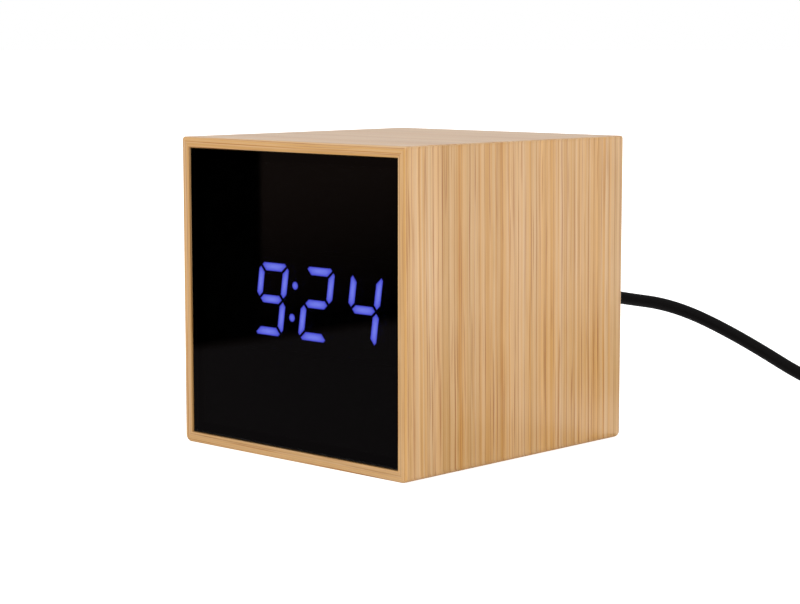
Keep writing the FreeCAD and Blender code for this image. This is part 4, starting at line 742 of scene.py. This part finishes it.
@dataclass(frozen=True)
class Studio:
    """Camera, floor and light, with places in metres, angles in degrees and the lens in millimetres.

    The camera was fitted to the seven corners of the cube that the photograph shows.
    """

    azimuth: float = 43.543
    elevation: float = 7.028
    distance: float = 0.40558
    target_shift: float = -0.00074
    target_height: float = 0.02736
    lens: float = 92.67
    sensor: float = 36.0
    clip: tuple[float, float] = (0.01, 50.0)
    floor_reach: float = 60.0
    floor_seam: float = 0.031
    floor_level: float = -2e-5
    # The tent: the rise of its lower edge, and its brightness away from the key direction and towards it
    horizon: tuple[float, float] = (-0.02, 0.05)
    key: tuple[float, float, float] = (0.42, -0.55, 0.64)
    key_reach: float = 0.9
    tent: tuple[float, float] = (0.62, 1.18)
    # The dim room that the window mirrors: a table edge, and an upright band that fades downwards
    table_slant: float = -0.18
    table_edge: tuple[float, float] = (-0.006, -0.011)
    table_strength: float = 0.074
    table_tint: str = "#fff0f4"
    band_edge: tuple[float, float] = (1.0905, 1.0855)
    band_top: float = 0.065
    band_strength: float = 0.088
    band_tint: str = "#ffd9ca"
    lamp_place: tuple[float, float, float] = (1.25, -1.85, 1.65)
    lamp_width: float = 1.4
    lamp_watts: float = 14.0
    lamp_aim: tuple[float, float, float] = (0.0, 0.0, 0.03)

    def camera(self) -> None:
        """Puts the camera at its distance from a point near the middle of the cube, looking at it."""
        turn, lift = math.radians(self.azimuth), math.radians(self.elevation)
        target = Vector((math.cos(turn) * self.target_shift, math.sin(turn) * self.target_shift,
                         self.target_height))
        back = Vector((math.sin(turn) * math.cos(lift), -math.cos(turn) * math.cos(lift), math.sin(lift)))
        data = bpy.data.cameras.new("camera")
        data.lens, data.sensor_width = self.lens, self.sensor
        data.clip_start, data.clip_end = self.clip
        made = bpy.data.objects.new("camera", data)
        made.location = target + back * self.distance
        aim(made, -back)
        bpy.context.scene.collection.objects.link(made)
        bpy.context.scene.camera = made

    def floor(self) -> None:
        """A wide level sheet under the clock in two parts, matt and nearly white.

        No mirror shows the part before the clock, as if a dark card stood there, so the window stays black.
        The part behind the clock shows in the screws, the plugs and the cover.
        """
        paper = LitPaper("matt white paper", "#d4d4d4", 0.9).material()
        reach, seam, level = self.floor_reach, self.floor_seam, self.floor_level
        parts = (("floor_front", -reach, seam, False), ("floor_back", seam, reach, True))
        for name, near, far, mirrored in parts:
            mesh = bpy.data.meshes.new(name)
            mesh.from_pydata([(-reach, near, level), (reach, near, level), (reach, far, level),
                              (-reach, far, level)], [], [(0, 1, 2, 3)])
            made = bpy.data.objects.new(name, mesh)
            bpy.context.scene.collection.objects.link(made)
            put_on(made, paper)
            made.visible_glossy = mirrored
            made.visible_transmission = False

    def light(self) -> None:
        """A white tent above the floor, the dim room that the window mirrors, and one large soft lamp.

        The tent's strength is a straight ramp of the height times one of the direction's part along the key.
        The room adds the greater of the band and the table edge. The camera sees plain white.
        """
        world = bpy.data.worlds.new("tent")
        bpy.context.scene.world = world
        world.use_nodes = True
        tree = world.node_tree
        tree.nodes.clear()
        way = grow(tree, "TexCoord").outputs["Generated"]
        part = grow(tree, "SeparateXYZ", {0: way}).outputs
        above = grow(tree, "MapRange", {"Value": part["Z"], "From Min": self.horizon[0],
                                        "From Max": self.horizon[1]})
        facing = grow(tree, "VectorMath", {0: way, 1: self.key}, operation="DOT_PRODUCT").outputs["Value"]
        glow = grow(tree, "MapRange", {"Value": facing, "From Min": -self.key_reach,
                                       "From Max": self.key_reach, "To Min": self.tent[0],
                                       "To Max": self.tent[1]})
        tent = grow(tree, "Math", {0: above, 1: glow}, operation="MULTIPLY")
        slant = grow(tree, "Math", {0: part["X"], 1: self.table_slant, 2: part["Z"]},
                     operation="MULTIPLY_ADD")
        edge = grow(tree, "MapRange", {"Value": slant, "From Min": self.table_edge[0],
                                       "From Max": self.table_edge[1]})
        aside = grow(tree, "Math", {0: part["X"], 1: part["Y"]}, operation="DIVIDE")
        side = grow(tree, "MapRange", {"Value": aside, "From Min": self.band_edge[0],
                                       "From Max": self.band_edge[1]})
        rise = grow(tree, "MapRange", {"Value": slant, "From Max": self.band_top,
                                       "To Max": self.band_strength})
        band = grow(tree, "Math", {0: side, 1: rise}, operation="MULTIPLY")
        table = grow(tree, "Math", {0: edge, 1: self.table_strength}, operation="MULTIPLY")
        dim = grow(tree, "Math", {0: band, 1: table}, operation="MAXIMUM")
        total = grow(tree, "Math", {0: tent, 1: dim}, operation="ADD")
        seen = grow(tree, "LightPath").outputs["Is Camera Ray"]
        strength = grow(tree, "Mix", {"Factor": seen, "A": total, "B": 1.0})
        room = grow(tree, "Mix", {0: edge, 6: linear(self.band_tint), 7: linear(self.table_tint)},
                    data_type="RGBA")
        bright = grow(tree, "Math", {0: seen, 1: above}, operation="MAXIMUM")
        colour = grow(tree, "Mix", {0: bright, 6: room.outputs[2], 7: linear("#ffffff")}, data_type="RGBA")
        sky = grow(tree, "Background", {"Color": colour.outputs[2], "Strength": strength})
        grow(tree, "OutputWorld", {"Surface": sky})
        lamp = bpy.data.lights.new("soft_box", "AREA")
        lamp.shape, lamp.size, lamp.energy = "DISK", self.lamp_width, self.lamp_watts
        made = bpy.data.objects.new("soft_box", lamp)
        made.location = self.lamp_place
        aim(made, Vector(self.lamp_aim) - made.location)
        made.visible_camera = False
        bpy.context.scene.collection.objects.link(made)
        bpy.context.scene.view_settings.view_transform = "Standard"


# The power lead with both its plugs


@dataclass(frozen=True)
class Plug:
    """What both plugs have: an axis that runs front to back, and a bend relief where the lead goes in."""

    relief_name: str
    relief_node: str
    relief_radius: float
    tip_radius: float = 1.75
    ring_pitch: float = 1.9
    ring_depth: float = 0.32
    # The part of each ring's length that is rib, how square the grooves are, and how much of them fades
    rib_share: float = 0.45
    ring_power: float = 0.6
    ring_fade: float = 0.45
    # Soft vinyl moulded round the joint: dull, and a shade paler than the lead's jacket
    moulding: VinylJacket = VinylJacket("matt black soft vinyl moulding", "#0c0b0b", 0.6, 0.25, 0.3)
    # Bright nickel: the only mirrors at the back
    nickel: PlatedMetal = PlatedMetal("polished nickel plate", "#b9b5aa", 0.22)

    @property
    def axis(self) -> tuple[float, float]:
        """Across and up, from the middle of the bend relief."""
        low, high = box_in_mm(self.relief_node)
        return (low[0] + high[0]) / 2, (low[2] + high[2]) / 2

    def relief(self) -> bpy.types.Object:
        """The bend relief: a turned taper with rounded ring grooves, which get shallower towards the lead.

        The radius at y is the straight taper less a groove of a raised cosine, so that the ribs stay round.

        Returns:
            The piece.
        """
        share = np.linspace(0, 1, 121)
        low, high = box_in_mm(self.relief_node)
        start, length = low[1], high[1] - low[1]
        taper = self.relief_radius + (self.tip_radius - self.relief_radius) * share
        rings = max(3, round(length / self.ring_pitch))
        wave = 0.5 - 0.5 * np.cos(2 * np.pi * rings * share)
        cut = np.clip((wave - self.rib_share) / (1 - self.rib_share), 0, 1) ** self.ring_power
        groove = self.ring_depth * cut * (1 - self.ring_fade * share)
        # Both ends stay plain, so that the relief meets the grip and the lead without a notch
        groove[-6:] = 0
        groove[:6] = 0
        along = start + length * share
        along = np.concatenate([along[:1], along, along[-1:]])
        radius = np.concatenate([[0.0], taper - groove, [0.0]])
        made = closed_piece(self.relief_name, [turned_grid(along, radius, self.axis, 64)], smooth_below=50)
        return stand_in(made, self.moulding, self.relief_node)


@dataclass(frozen=True)
class SocketPlug(Plug):
    """The round plug in the clock's socket."""

    relief_name: str = "plug_bend_relief"
    relief_node: str = "plug_relief"
    relief_radius: float = 2.7
    nose_radius: float = 3.8
    nose_length: float = 2.05
    nose_chamfer: float = 0.3
    grip_radius: float = 4.28
    front_round: float = 0.5
    back_round: float = 0.9
    # The flats: from the grip's front end, how softly they begin and end, and how far round they reach
    flat_from: float = 4.2
    flat_to: float = 13.8
    flat_run: float = 1.0
    flat_cosine: float = 0.72
    flat_power: float = 0.8
    flat_depth: float = 0.42
    ridge_height: float = 0.26
    ridge_pitch: float = 1.2

    def grip(self) -> bpy.types.Object:
        """The grip: a turned body with round shoulders and two flats with finger ridges.

        The radius at station y and angle v is the shouldered profile less a flat that is deepest at the
        sides, with fine ridges across it.

        Returns:
            The piece.
        """
        low, high = box_in_mm("plug_grip")
        start, end = low[1], high[1]
        shoulder, nose, full = start + self.nose_length, self.nose_radius, self.grip_radius
        near, far = self.front_round, self.back_round
        curve = np.linspace(0, np.pi / 2, 9)
        front = np.stack([shoulder + near * (1 - np.cos(curve)), full - near + near * np.sin(curve)])
        back = np.stack([end - far + far * np.sin(curve), full - far + far * np.cos(curve)])
        body = np.linspace(shoulder + near, end - far, 90)[1:-1]
        along = np.concatenate([[start, start, start + self.nose_chamfer, shoulder], front[0], body, back[0],
                                [end]])
        radius = np.concatenate([[0, nose - self.nose_chamfer, nose, nose], front[1],
                                 np.full(body.size, full), back[1], [0]])
        columns = 96
        angle = np.linspace(0, 2 * np.pi, columns, endpoint=False)[None, :]
        begun = np.clip((along - start - self.flat_from) / self.flat_run, 0, 1)
        left = np.clip((start + self.flat_to - along) / self.flat_run, 0, 1)
        ridge = 0.5 + 0.5 * np.cos(2 * np.pi * (along - start - self.flat_from) / self.ridge_pitch)
        sides = np.clip((np.abs(np.cos(angle)) - self.flat_cosine) / (1 - self.flat_cosine), 0, 1)
        sides = sides ** self.flat_power
        deep = (self.flat_depth - self.ridge_height * ridge) * ease(begun * left)
        grid = turned_grid(along, radius[:, None] - deep[:, None] * sides, self.axis, columns)
        made = closed_piece("plug_grip_moulding", [grid], smooth_below=35)
        return stand_in(made, self.moulding, "plug_grip")


@dataclass(frozen=True)
class FarPlug(Plug):
    """The flat plug at the lead's far end."""

    relief_name: str = "far_plug_bend_relief"
    relief_node: str = "usb_relief"
    relief_radius: float = 3.0
    grip_power: float = 5.0
    grip_round: float = 1.3
    # The thumb dent: its middle from the grip's front end, how far it reaches from there, and its edge
    dent_at: float = 10.6
    dent_across: float = 5.6
    dent_along: float = 6.5
    dent_depth: float = 0.55
    dent_steepness: float = 1.6
    ridge_height: float = 0.28
    ridge_pitch: float = 1.5
    # The shell: corners, sheet, drawn-in mouth, and latch windows, measured from its middle and its mouth
    shell_round: float = 0.45
    shell_sheet: float = 0.3
    mouth_in: float = 0.12
    mouth_length: float = 0.3
    window_across: tuple[float, float] = (1.0, 3.5)
    window_along: tuple[float, float] = (5.2, 7.3)

    def grip(self) -> bpy.types.Object:
        """The grip: a rounded block with a ridged thumb dent on top.

        A point of the section at angle v lies on a superellipse with half axes a and b. The section shrinks
        towards both ends along a quarter circle, and the upper side dips by a smooth oval with ridges.

        Returns:
            The piece.
        """
        low, high = box_in_mm("usb_grip")
        start, end, rounded = low[1], high[1], self.grip_round
        half_width, half_height = (high[0] - low[0]) / 2, (high[2] - low[2]) / 2
        curve = np.linspace(0, np.pi / 2, 10)
        shrink = np.concatenate([[0.0], rounded * (1 - np.sin(curve)), np.zeros(80),
                                 rounded * (1 - np.cos(curve)), [0.0]])
        along = np.concatenate([[start], start + rounded * (1 - np.cos(curve)),
                                np.linspace(start + rounded, end - rounded, 82)[1:-1],
                                end - rounded + rounded * np.sin(curve), [end]])[:, None]
        columns = 120
        angle = np.linspace(0, 2 * np.pi, columns, endpoint=False)[None, :]
        cos, sin = np.cos(angle), np.sin(angle)
        wide, tall = half_width - shrink[:, None], half_height - shrink[:, None]
        across = wide * np.sign(cos) * np.abs(cos) ** (2 / self.grip_power)
        up = tall * np.sign(sin) * np.abs(sin) ** (2 / self.grip_power)
        across[[0, -1]] = 0
        up[[0, -1]] = 0
        from_dent = along - start - self.dent_at
        oval = 1 - (from_dent / self.dent_along) ** 2 - (across / self.dent_across) ** 2
        ridge = 0.5 + 0.5 * np.cos(2 * np.pi * from_dent / self.ridge_pitch)
        dent = (ease(oval * self.dent_steepness) * (self.dent_depth - self.ridge_height * ridge)
                * (up > 0))
        grid = np.stack([self.axis[0] + across, np.repeat(along, columns, axis=1), half_height + up - dent],
                        axis=-1)
        made = closed_piece("far_plug_moulding", [grid], smooth_below=50)
        return stand_in(made, self.moulding, "usb_grip")

    def shell(self) -> bpy.types.Object:
        """The shell: a sheet tube with two square latch windows above and two below.

        The section is a rectangle's corner points, each moved out along its normal by the corner's radius for
        the outer skin, and by a sheet's thickness less for the inner one. The faces in the windows are left
        out, and walls join the skins there and at both ends.

        Returns:
            The piece.
        """
        low, high = box_in_mm("usb_shell")
        middle, half = (low + high) / 2, (high - low) / 2 - self.shell_round
        inner, outer = self.window_across
        stops = np.array([half[0], outer, inner, -inner, -outer, -half[0]])
        # Half of the section: a corner of six points, the six stops of the upper flat, and the next corner
        turn = np.radians(np.concatenate([np.arange(0, 90, 15), np.full(6, 90), np.arange(105, 181, 15)]))
        across = np.concatenate([np.full(6, half[0]), stops, np.full(6, -half[0])])
        turn, across = np.concatenate([turn, turn + np.pi]), np.concatenate([across, -across])
        up = half[2] * np.repeat([1, -1], across.size // 2)
        along = low[1] + np.array([0, self.mouth_length, *self.window_along, high[1] - low[1]])
        columns = across.size
        skins = []
        for reach in (self.shell_round - np.array([self.mouth_in, 0, 0, 0, 0]),
                      np.full(along.size, self.shell_round - self.shell_sheet)):
            skins.append(np.stack([middle[0] + across + reach[:, None] * np.cos(turn),
                                   np.repeat(along[:, None], columns, axis=1),
                                   middle[2] + up + reach[:, None] * np.sin(turn)], axis=-1))
        # The windows lie between the third and fourth stations, two in the upper flat and two in the lower
        faces = np.delete(lattice(along.size, columns), 2 * columns + np.array([7, 9, 25, 27]), axis=0)
        sides = np.stack([faces, np.roll(faces, -1, axis=1)], axis=-1).reshape(-1, 2)
        many = along.size * columns
        rim = sides[~np.isin(sides[:, 0] * many + sides[:, 1], sides[:, 1] * many + sides[:, 0])]
        walls = np.column_stack([rim[:, ::-1], rim + many])
        made = faced_piece("far_plug_shell", np.concatenate(skins).reshape(-1, 3),
                           np.concatenate([faces, faces[:, ::-1] + many, walls]))
        return stand_in(made, self.nickel, "usb_shell")


@dataclass(frozen=True)
class PowerLead:
    """The lead from the socket to the plug at its far end, with what the picture leaves out wound up.

    The route's corners were chosen along the sag in the photograph. The coil has four layers, and
    the lead climbs to the next one in half a turn, where the spiral reverses.
    """

    diameter: float = 2.8
    length: float = 1050.0
    sag: tuple[tuple[float, float, float], ...] = (
        (0.0, 52.85, 24.0), (0.0, 60.35, 24.0), (0.8, 68.0, 22.35), (7.5, 80.0, 20.15), (21.4, 85.2, 13.85),
        (39.5, 89.7, 3.95))
    landing: float = 56.6
    centre: tuple[float, float] = (72.0, 75.0)
    lowest: float = 1.85
    mean_radius: float = 14.4
    turn_gap: float = 0.5
    turns: float = 9.5
    layers: int = 4
    tail_turns: float = 0.75
    climb_turns: float = 0.5
    spread_turns: float = 0.3
    steps_per_turn: int = 20
    socket_plug: SocketPlug = SocketPlug()
    far_plug: FarPlug = FarPlug()
    # Extruded vinyl: a dull sheen runs along the lead
    jacket: VinylJacket = VinylJacket("satin black vinyl jacket", "#060404", 0.6, specular=0.07)
    # Moulded nylon: a clean white in the far plug's mouth
    nylon: Finish = Finish("white nylon", "#e9e8e2", 0.45)
    # Woven strap: its coarse threads make it the dullest black here
    strap: MouldedPlastic = MouldedPlastic("woven black strap", "#171717", 0.8, 0.35, 0.06)

    @property
    def pitch(self) -> float:
        """Distance between neighbouring turns."""
        return self.diameter + self.turn_gap

    @property
    def outer(self) -> float:
        """Radius of the outermost turn."""
        return self.mean_radius + self.turns / self.layers * self.pitch / 2

    def coil_points(self) -> np.ndarray:
        """Control points of the turns.

        The turn t, counted clockwise from above, has its angle at a quarter less 2 pi t. Its radius shrinks
        by one pitch a turn on even layers and grows again on odd ones, its height climbs by one pitch with a
        smooth step at each layer's end, and the tail spreads outwards and comes down to the plug. The points
        lie at half steps, with the radius over the cosine of half a step, so that the line touches the
        circle.

        Returns:
            Rows of three, in millimetres.
        """
        step = 1 / self.steps_per_turn
        turn = (np.arange(round((self.turns + self.tail_turns) / step)) + 0.5) * step
        per_layer = self.turns / self.layers
        wound = np.minimum(turn, self.turns)
        layer = np.minimum((wound / per_layer).astype(int), self.layers - 1)
        into = wound - layer * per_layer
        inward = np.where(layer % 2 == 0, into, per_layer - into)
        tail = np.maximum(turn - self.turns, 0)
        radius = self.outer - self.pitch * inward + self.pitch * ease(tail / self.spread_turns)
        climbs = sum(ease((wound - number * per_layer) / self.climb_turns + 0.5)
                     for number in range(1, self.layers))
        height = self.lowest + self.pitch * climbs
        height = height + (self.far_plug.axis[1] - height) * ease(tail / self.tail_turns)
        radius = radius / math.cos(math.pi * step)
        angle = math.pi / 2 - 2 * math.pi * turn
        return np.stack([self.centre[0] + radius * np.cos(angle), self.centre[1] + radius * np.sin(angle),
                         height], axis=-1)

    def lead(self) -> bpy.types.Object:
        """The lead itself: one open curve through all its control points, as thick as the real one.

        Returns:
            The piece.
        """
        entry = self.centre[1] + self.outer
        floor_run = [(self.landing, entry, self.lowest), (self.centre[0], entry, self.lowest)]
        across, up = self.far_plug.axis
        end = (across, box_in_mm(self.far_plug.relief_node)[1][1], up)
        points = np.concatenate([self.sag, floor_run, self.coil_points(), [end]]) * MM
        curve = bpy.data.curves.new("power_lead", "CURVE")
        curve.dimensions = "3D"
        curve.bevel_depth = self.diameter / 2 * MM
        curve.bevel_resolution = 5
        curve.resolution_u = 8
        curve.use_fill_caps = True
        spline = curve.splines.new("NURBS")
        spline.points.add(len(points) - 1)
        spline.points.foreach_set("co", np.column_stack([points, np.ones(len(points))]).ravel())
        spline.order_u = 3
        spline.use_endpoint_u = True
        made = bpy.data.objects.new("power_lead", curve)
        bpy.context.scene.collection.objects.link(made)
        return stand_in(made, self.jacket, "power_cable", "cable_coil")

    def build(self) -> list[bpy.types.Object]:
        """Returns:
            The new pieces.
        """
        lead = self.lead()
        near, far = self.socket_plug.relief(), self.far_plug.relief()
        grips = [self.socket_plug.grip(), self.far_plug.grip(), self.far_plug.shell()]
        dress(self.socket_plug.nickel, "plug_barrel")
        dress(self.nylon, "usb_tongue")
        dress(self.strap, "cable_tie")
        return [lead, near, far, *grips]


# The display behind the window


@dataclass(frozen=True)
class Display:
    """The four-digit display: its body, the segments that are lit and those that are dark.

    A digit's segments are named a to g in the usual way, clockwise from the top, with g in the middle.
    """

    shown: tuple[str, ...] = ("", "abcdfg", "abdeg", "bcfg")
    pitch: float = 12.2
    width: float = 8.1
    height: float = 13.9
    slant: float = 8.4
    stroke: float = 1.6
    gap: float = 0.45
    tip: float = 0.45
    offset: float = -0.4
    middle_z: float = 30.0
    face: float = -28.55
    depth: float = 5.0
    dot_radius: float = 0.775
    dot_rise: float = 3.05
    dot_glow: float = 0.75
    end_fade: float = 0.45
    # How far the brightest line of a segment reaches, in parts of the digit's height and of the segment
    spine_limit: float = 0.34
    spine_share: float = 0.72
    # Diffusing resin over lit chips: the only light in the picture that has a colour
    lit: LitResin = LitResin("blue lit diffusing resin", "#7878c8", 0.35)
    # The same resin unlit: a grey that the smoked window hides
    dark: CastResin = CastResin("unlit diffusing resin", "#2b2d31", 0.4)
    # Filled resin round the light wells: nearly black, so that no light shows between the segments
    body: CastResin = CastResin("dark grey filled resin", "#15151a", 0.55, "#1d1d22")
    # Tinned wire: pale and a little dull
    pins: PlatedMetal = PlatedMetal("tinned copper wire", "#c9c6bd", 0.35)

    @property
    def lean(self) -> float:
        """Sideways shift of a point for each millimetre above the digits' middle."""
        return math.tan(math.radians(self.slant))

    def outlines(self) -> dict[str, np.ndarray]:
        """Corners of the seven segments about a digit's centre, before it leans.

        Returns:
            For each segment's letter, rows of across and up, in millimetres.
        """
        half_w, half_h, stroke, tip = self.width / 2, self.height / 2, self.stroke, self.tip
        gap = self.gap / math.sqrt(2)
        inner, axis = half_w - stroke, half_w - stroke / 2
        half = [(half_w - 2 * tip - gap, half_h), (half_w - tip - gap, half_h - tip),
                (inner - gap, half_h - stroke)]
        top = np.array(half + [(-u, v) for u, v in reversed(half)])
        bar = np.array([(axis - gap, 0), (inner - gap, -stroke / 2), (gap - inner, -stroke / 2),
                        (gap - axis, 0), (gap - inner, stroke / 2), (inner - gap, stroke / 2)])
        side = np.array([(half_w, gap + stroke / 2), (half_w, half_h - 2 * tip - gap),
                         (half_w - tip, half_h - tip - gap), (inner, half_h - stroke - gap),
                         (inner, gap + stroke / 2), (axis, gap)])
        left, low = np.array([-1, 1]), np.array([1, -1])
        return {"a": top, "b": side, "c": side * low, "d": top * low, "e": -side, "f": side * left, "g": bar}

    def prism(self, corners: np.ndarray, centre: float) -> tuple[np.ndarray, np.ndarray]:
        """A segment as a closed grid, and its glow.

        Rows run from the segment's mid line to its outline, then back along its sides to the mid line again.
        The ring's points divide each side of the outline evenly. The glow falls from the mid line to the
        outline as 1 less the share squared, and towards the segment's ends.

        Args:
            corners: The segment's outline, as outlines gives it.
            centre: The digit's centre across, in millimetres.

        Returns:
            The grid of points and the glow at each, from 0 to 1.
        """
        ends = np.roll(corners, -1, axis=0)
        share = np.linspace(0, 1, 8, endpoint=False)
        ring = (corners[:, None] + (ends - corners)[:, None] * share[None, :, None]).reshape(-1, 2)
        middle = ring.mean(axis=0)
        spread = np.linalg.svd(ring - middle)[2][0]
        limit = self.spine_limit * self.height
        reach = np.clip((ring - middle) @ spread, -limit, limit) * self.spine_share
        spine = middle + reach[:, None] * spread
        outward = np.linspace(0, 1, 7)
        front = spine + (ring - spine) * outward[:, None, None]
        rows = np.concatenate([front, ring[None], spine[None]])
        deep = np.concatenate([np.full(outward.size, self.face), [self.face + self.depth] * 2])
        grid = np.stack([centre + rows[..., 0] + rows[..., 1] * self.lean,
                         np.repeat(deep[:, None], ring.shape[0], axis=1),
                         self.middle_z + rows[..., 1]], axis=-1)
        far = np.abs(reach) / max(np.abs(reach).max(), 1e-6)
        fall = np.concatenate([outward, [1, 1]])[:, None]
        glow = np.clip((1 - fall ** 2) * (1 - self.end_fade * far[None, :] ** 2), 0, 1)
        return grid, glow

    def dot(self, rise: float) -> tuple[np.ndarray, np.ndarray]:
        """One dot of the colon as a closed grid of rings about its centre, and its glow.

        Args:
            rise: Its centre above the digits' middle, in millimetres.

        Returns:
            The grid of points and the glow at each, from 0 to 1.
        """
        angle = np.linspace(0, 2 * np.pi, 24, endpoint=False)
        circle = np.stack([np.cos(angle), np.sin(angle)], axis=-1) * self.dot_radius
        outward = np.array([0, 0.35, 0.65, 0.85, 1, 1])
        flat = circle[None] * np.append(outward, 0)[:, None, None]
        deep = np.array([self.face] * 5 + [self.face + self.depth] * 2)
        grid = np.stack([self.offset + rise * self.lean + flat[..., 0],
                         np.repeat(deep[:, None], angle.size, axis=1),
                         self.middle_z + rise + flat[..., 1]], axis=-1)
        fall = np.append(outward, 1)[:, None]
        return grid, np.repeat(1 - fall ** 2, angle.size, axis=1) * self.dot_glow

    def segments(self) -> bpy.types.Object:
        """The lit segments and both dots as one piece.

        Returns:
            The piece.
        """
        parts = []
        outlines = self.outlines()
        for place, letters in enumerate(self.shown):
            centre = self.offset + (place - (len(self.shown) - 1) / 2) * self.pitch
            parts += [self.prism(outlines[letter], centre) for letter in letters]
        parts += [self.dot(-self.dot_rise), self.dot(self.dot_rise)]
        grids, glows = zip(*parts)
        made = closed_piece("glowing_segments", list(grids), {"glow": list(glows)}, smooth_below=30)
        stand_in(made, self.lit, "lit_segments")
        return made

    def build(self) -> list[bpy.types.Object]:
        """Makes the lit segments and dresses the display's solids.

        Returns:
            The new pieces.
        """
        dress(self.dark, "unlit_segments")
        dress(self.body, "display_housing")
        dress(self.pins, "display_pins")
        return [self.segments()]


# The shell and the window


@dataclass(frozen=True)
class BambooShell:
    """Four mitred panels, with fibres upright in the sides and left to right in the top and the base."""

    # Each panel's grain, and the stretch of the laminate that it is cut from, in millimetres along it
    panels: tuple[tuple[str, Grain, float], ...] = (
        ("right_panel", Grain.UPRIGHT, 0.0), ("left_panel", Grain.UPRIGHT, 143.0),
        ("top_panel", Grain.LEVEL, 57.0), ("bottom_panel", Grain.LEVEL, 211.0))

    def dress(self) -> None:
        """Gives each panel its own stretch of the laminate."""
        for node, grain, offset in self.panels:
            title = "oiled laminated bamboo, " + node.replace("_", " ")
            dress(LaminatedBamboo(title, "#d5ad7d", 0.48, grain=grain, offset=offset), node)


@dataclass(frozen=True)
class Window:
    """The smoked sheet, the tape that holds it and the black moulding behind it."""

    # Polished sheet: a black mirror, and clear enough for the lit segments
    sheet: SmokedAcrylic = SmokedAcrylic("smoked cast acrylic", "#5b5b5c", 0.015)
    # Foam tape: coarse and without any shine
    tape: MouldedPlastic = MouldedPlastic("black foam tape", "#0c0c0c", 0.9, 0.3, 0.05)
    # Spark-eroded ABS: an even black that shows nothing through the window
    moulding: MouldedPlastic = MouldedPlastic("black ABS, spark-eroded", "#0b0b0c", 0.6)

    def dress(self) -> None:
        """Dresses the three pieces."""
        dress(self.sheet, "front_window")
        dress(self.tape, "window_tape")
        dress(self.moulding, "front_frame")


# What is at the back and inside


@dataclass(frozen=True)
class Works:
    """The rear cover with its buttons and screws, the boards, and the battery bay with its door."""

    # Spark-eroded ABS: a dark grey that spreads the light of the tent evenly
    cover: MouldedPlastic = MouldedPlastic("black ABS cover, spark-eroded", "#19191a", 0.5, 0.2, 0.02)
    # The same plastic from a smoother mould: the buttons stand out by their satin shine
    button: MouldedPlastic = MouldedPlastic("black ABS button, satin", "#252528", 0.33, 0.12, 0.006)
    board: LacqueredBoard = LacqueredBoard("green lacquered laminate", "#0f4526", 0.35)
    # Pressed epoxy: a dull grey-black
    chip: MouldedPlastic = MouldedPlastic("black epoxy moulding", "#141415", 0.55, 0.1, 0.006)
    # Zinc plate: greyer and duller than nickel, and hazy every way
    steel: PlatedMetal = PlatedMetal("zinc plated steel", "#b9b9b4", 0.36, (3.0, 3.0, 3.0))
    # Drawn steel: bright, with its marks along the draw
    can: PlatedMetal = PlatedMetal("drawn steel can", "#c4c4c2", 0.28)
    spring: PlatedMetal = PlatedMetal("nickel plated spring steel", "#cfccc2", 0.24)
    # Shrunk sleeve: smooth and glossy, dark blue
    sleeve: Finish = Finish("shrunk blue vinyl sleeve", "#1a1f42", 0.32)
    # Undyed nylon: the colour of old ivory
    nylon: Finish = Finish("natural nylon", "#e4dfcc", 0.42)
    black_nylon: MouldedPlastic = MouldedPlastic("black nylon", "#111112", 0.45, 0.15, 0.006)
    ribbon: RibbonVinyl = RibbonVinyl("grey ribbon vinyl", "#9d9d9f", 0.45)
    # Thin wire insulation: glossier than the lead's jacket
    black_wire: VinylJacket = VinylJacket("black wire insulation", "#121212", 0.4)
    red_wire: VinylJacket = VinylJacket("red wire insulation", "#a51510", 0.4)
    jacket: str = "#2f5560"

    def finishes(self) -> list[tuple[Finish, tuple[str, ...]]]:
        """Each finish with the solids that have it.

        Returns:
            Pairs of a finish and the solids' names.
        """
        back = FoilJacket("foil cell jacket, button to the back", self.jacket, 0.3, way=1)
        front = FoilJacket("foil cell jacket, button to the front", self.jacket, 0.3, way=-1)
        return [
            (self.cover, ("rear_cover", "battery_case", "battery_door")),
            (self.button, ("set_button", "up_button", "down_button")),
            (self.board, ("main_board", "button_board")),
            (self.chip, ("clock_chip", "temperature_sensor", "buzzer", "switch_bodies")),
            (self.steel, ("main_board_screws", "button_board_screws", "rear_cover_screws")),
            (self.can, ("quartz_crystal", "microphone", "socket_pin")),
            (self.spring, ("battery_springs", "battery_contacts")),
            (self.sleeve, ("capacitors",)),
            (self.nylon, ("board_header", "ribbon_socket")),
            (self.black_nylon, ("power_socket", "set_switch_plunger", "up_switch_plunger",
                                "down_switch_plunger")),
            (self.ribbon, ("board_ribbon",)),
            (self.black_wire, ("black_battery_lead",)),
            (self.red_wire, ("red_battery_lead",)),
            (back, ("battery_cell_1", "battery_cell_3")),
            (front, ("battery_cell_2",)),
        ]

    def dress(self) -> None:
        """Dresses all of them; solids of one finish share one material."""
        for finish, nodes in self.finishes():
            dress(finish, *nodes)


def main() -> None:
    """Builds the clock and its studio in order and reports each piece."""
    logging.basicConfig(level=logging.INFO, format="%(message)s")
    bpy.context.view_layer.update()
    studio = Studio()
    studio.camera()
    made = PowerLead().build()
    made += Display().build()
    BambooShell().dress()
    Window().dress()
    Works().dress()
    studio.floor()
    studio.light()
    for piece in made:
        log.info("%s, of %s", piece.name, piece.material_slots[0].material.name)


if __name__ == "__main__":
    main()
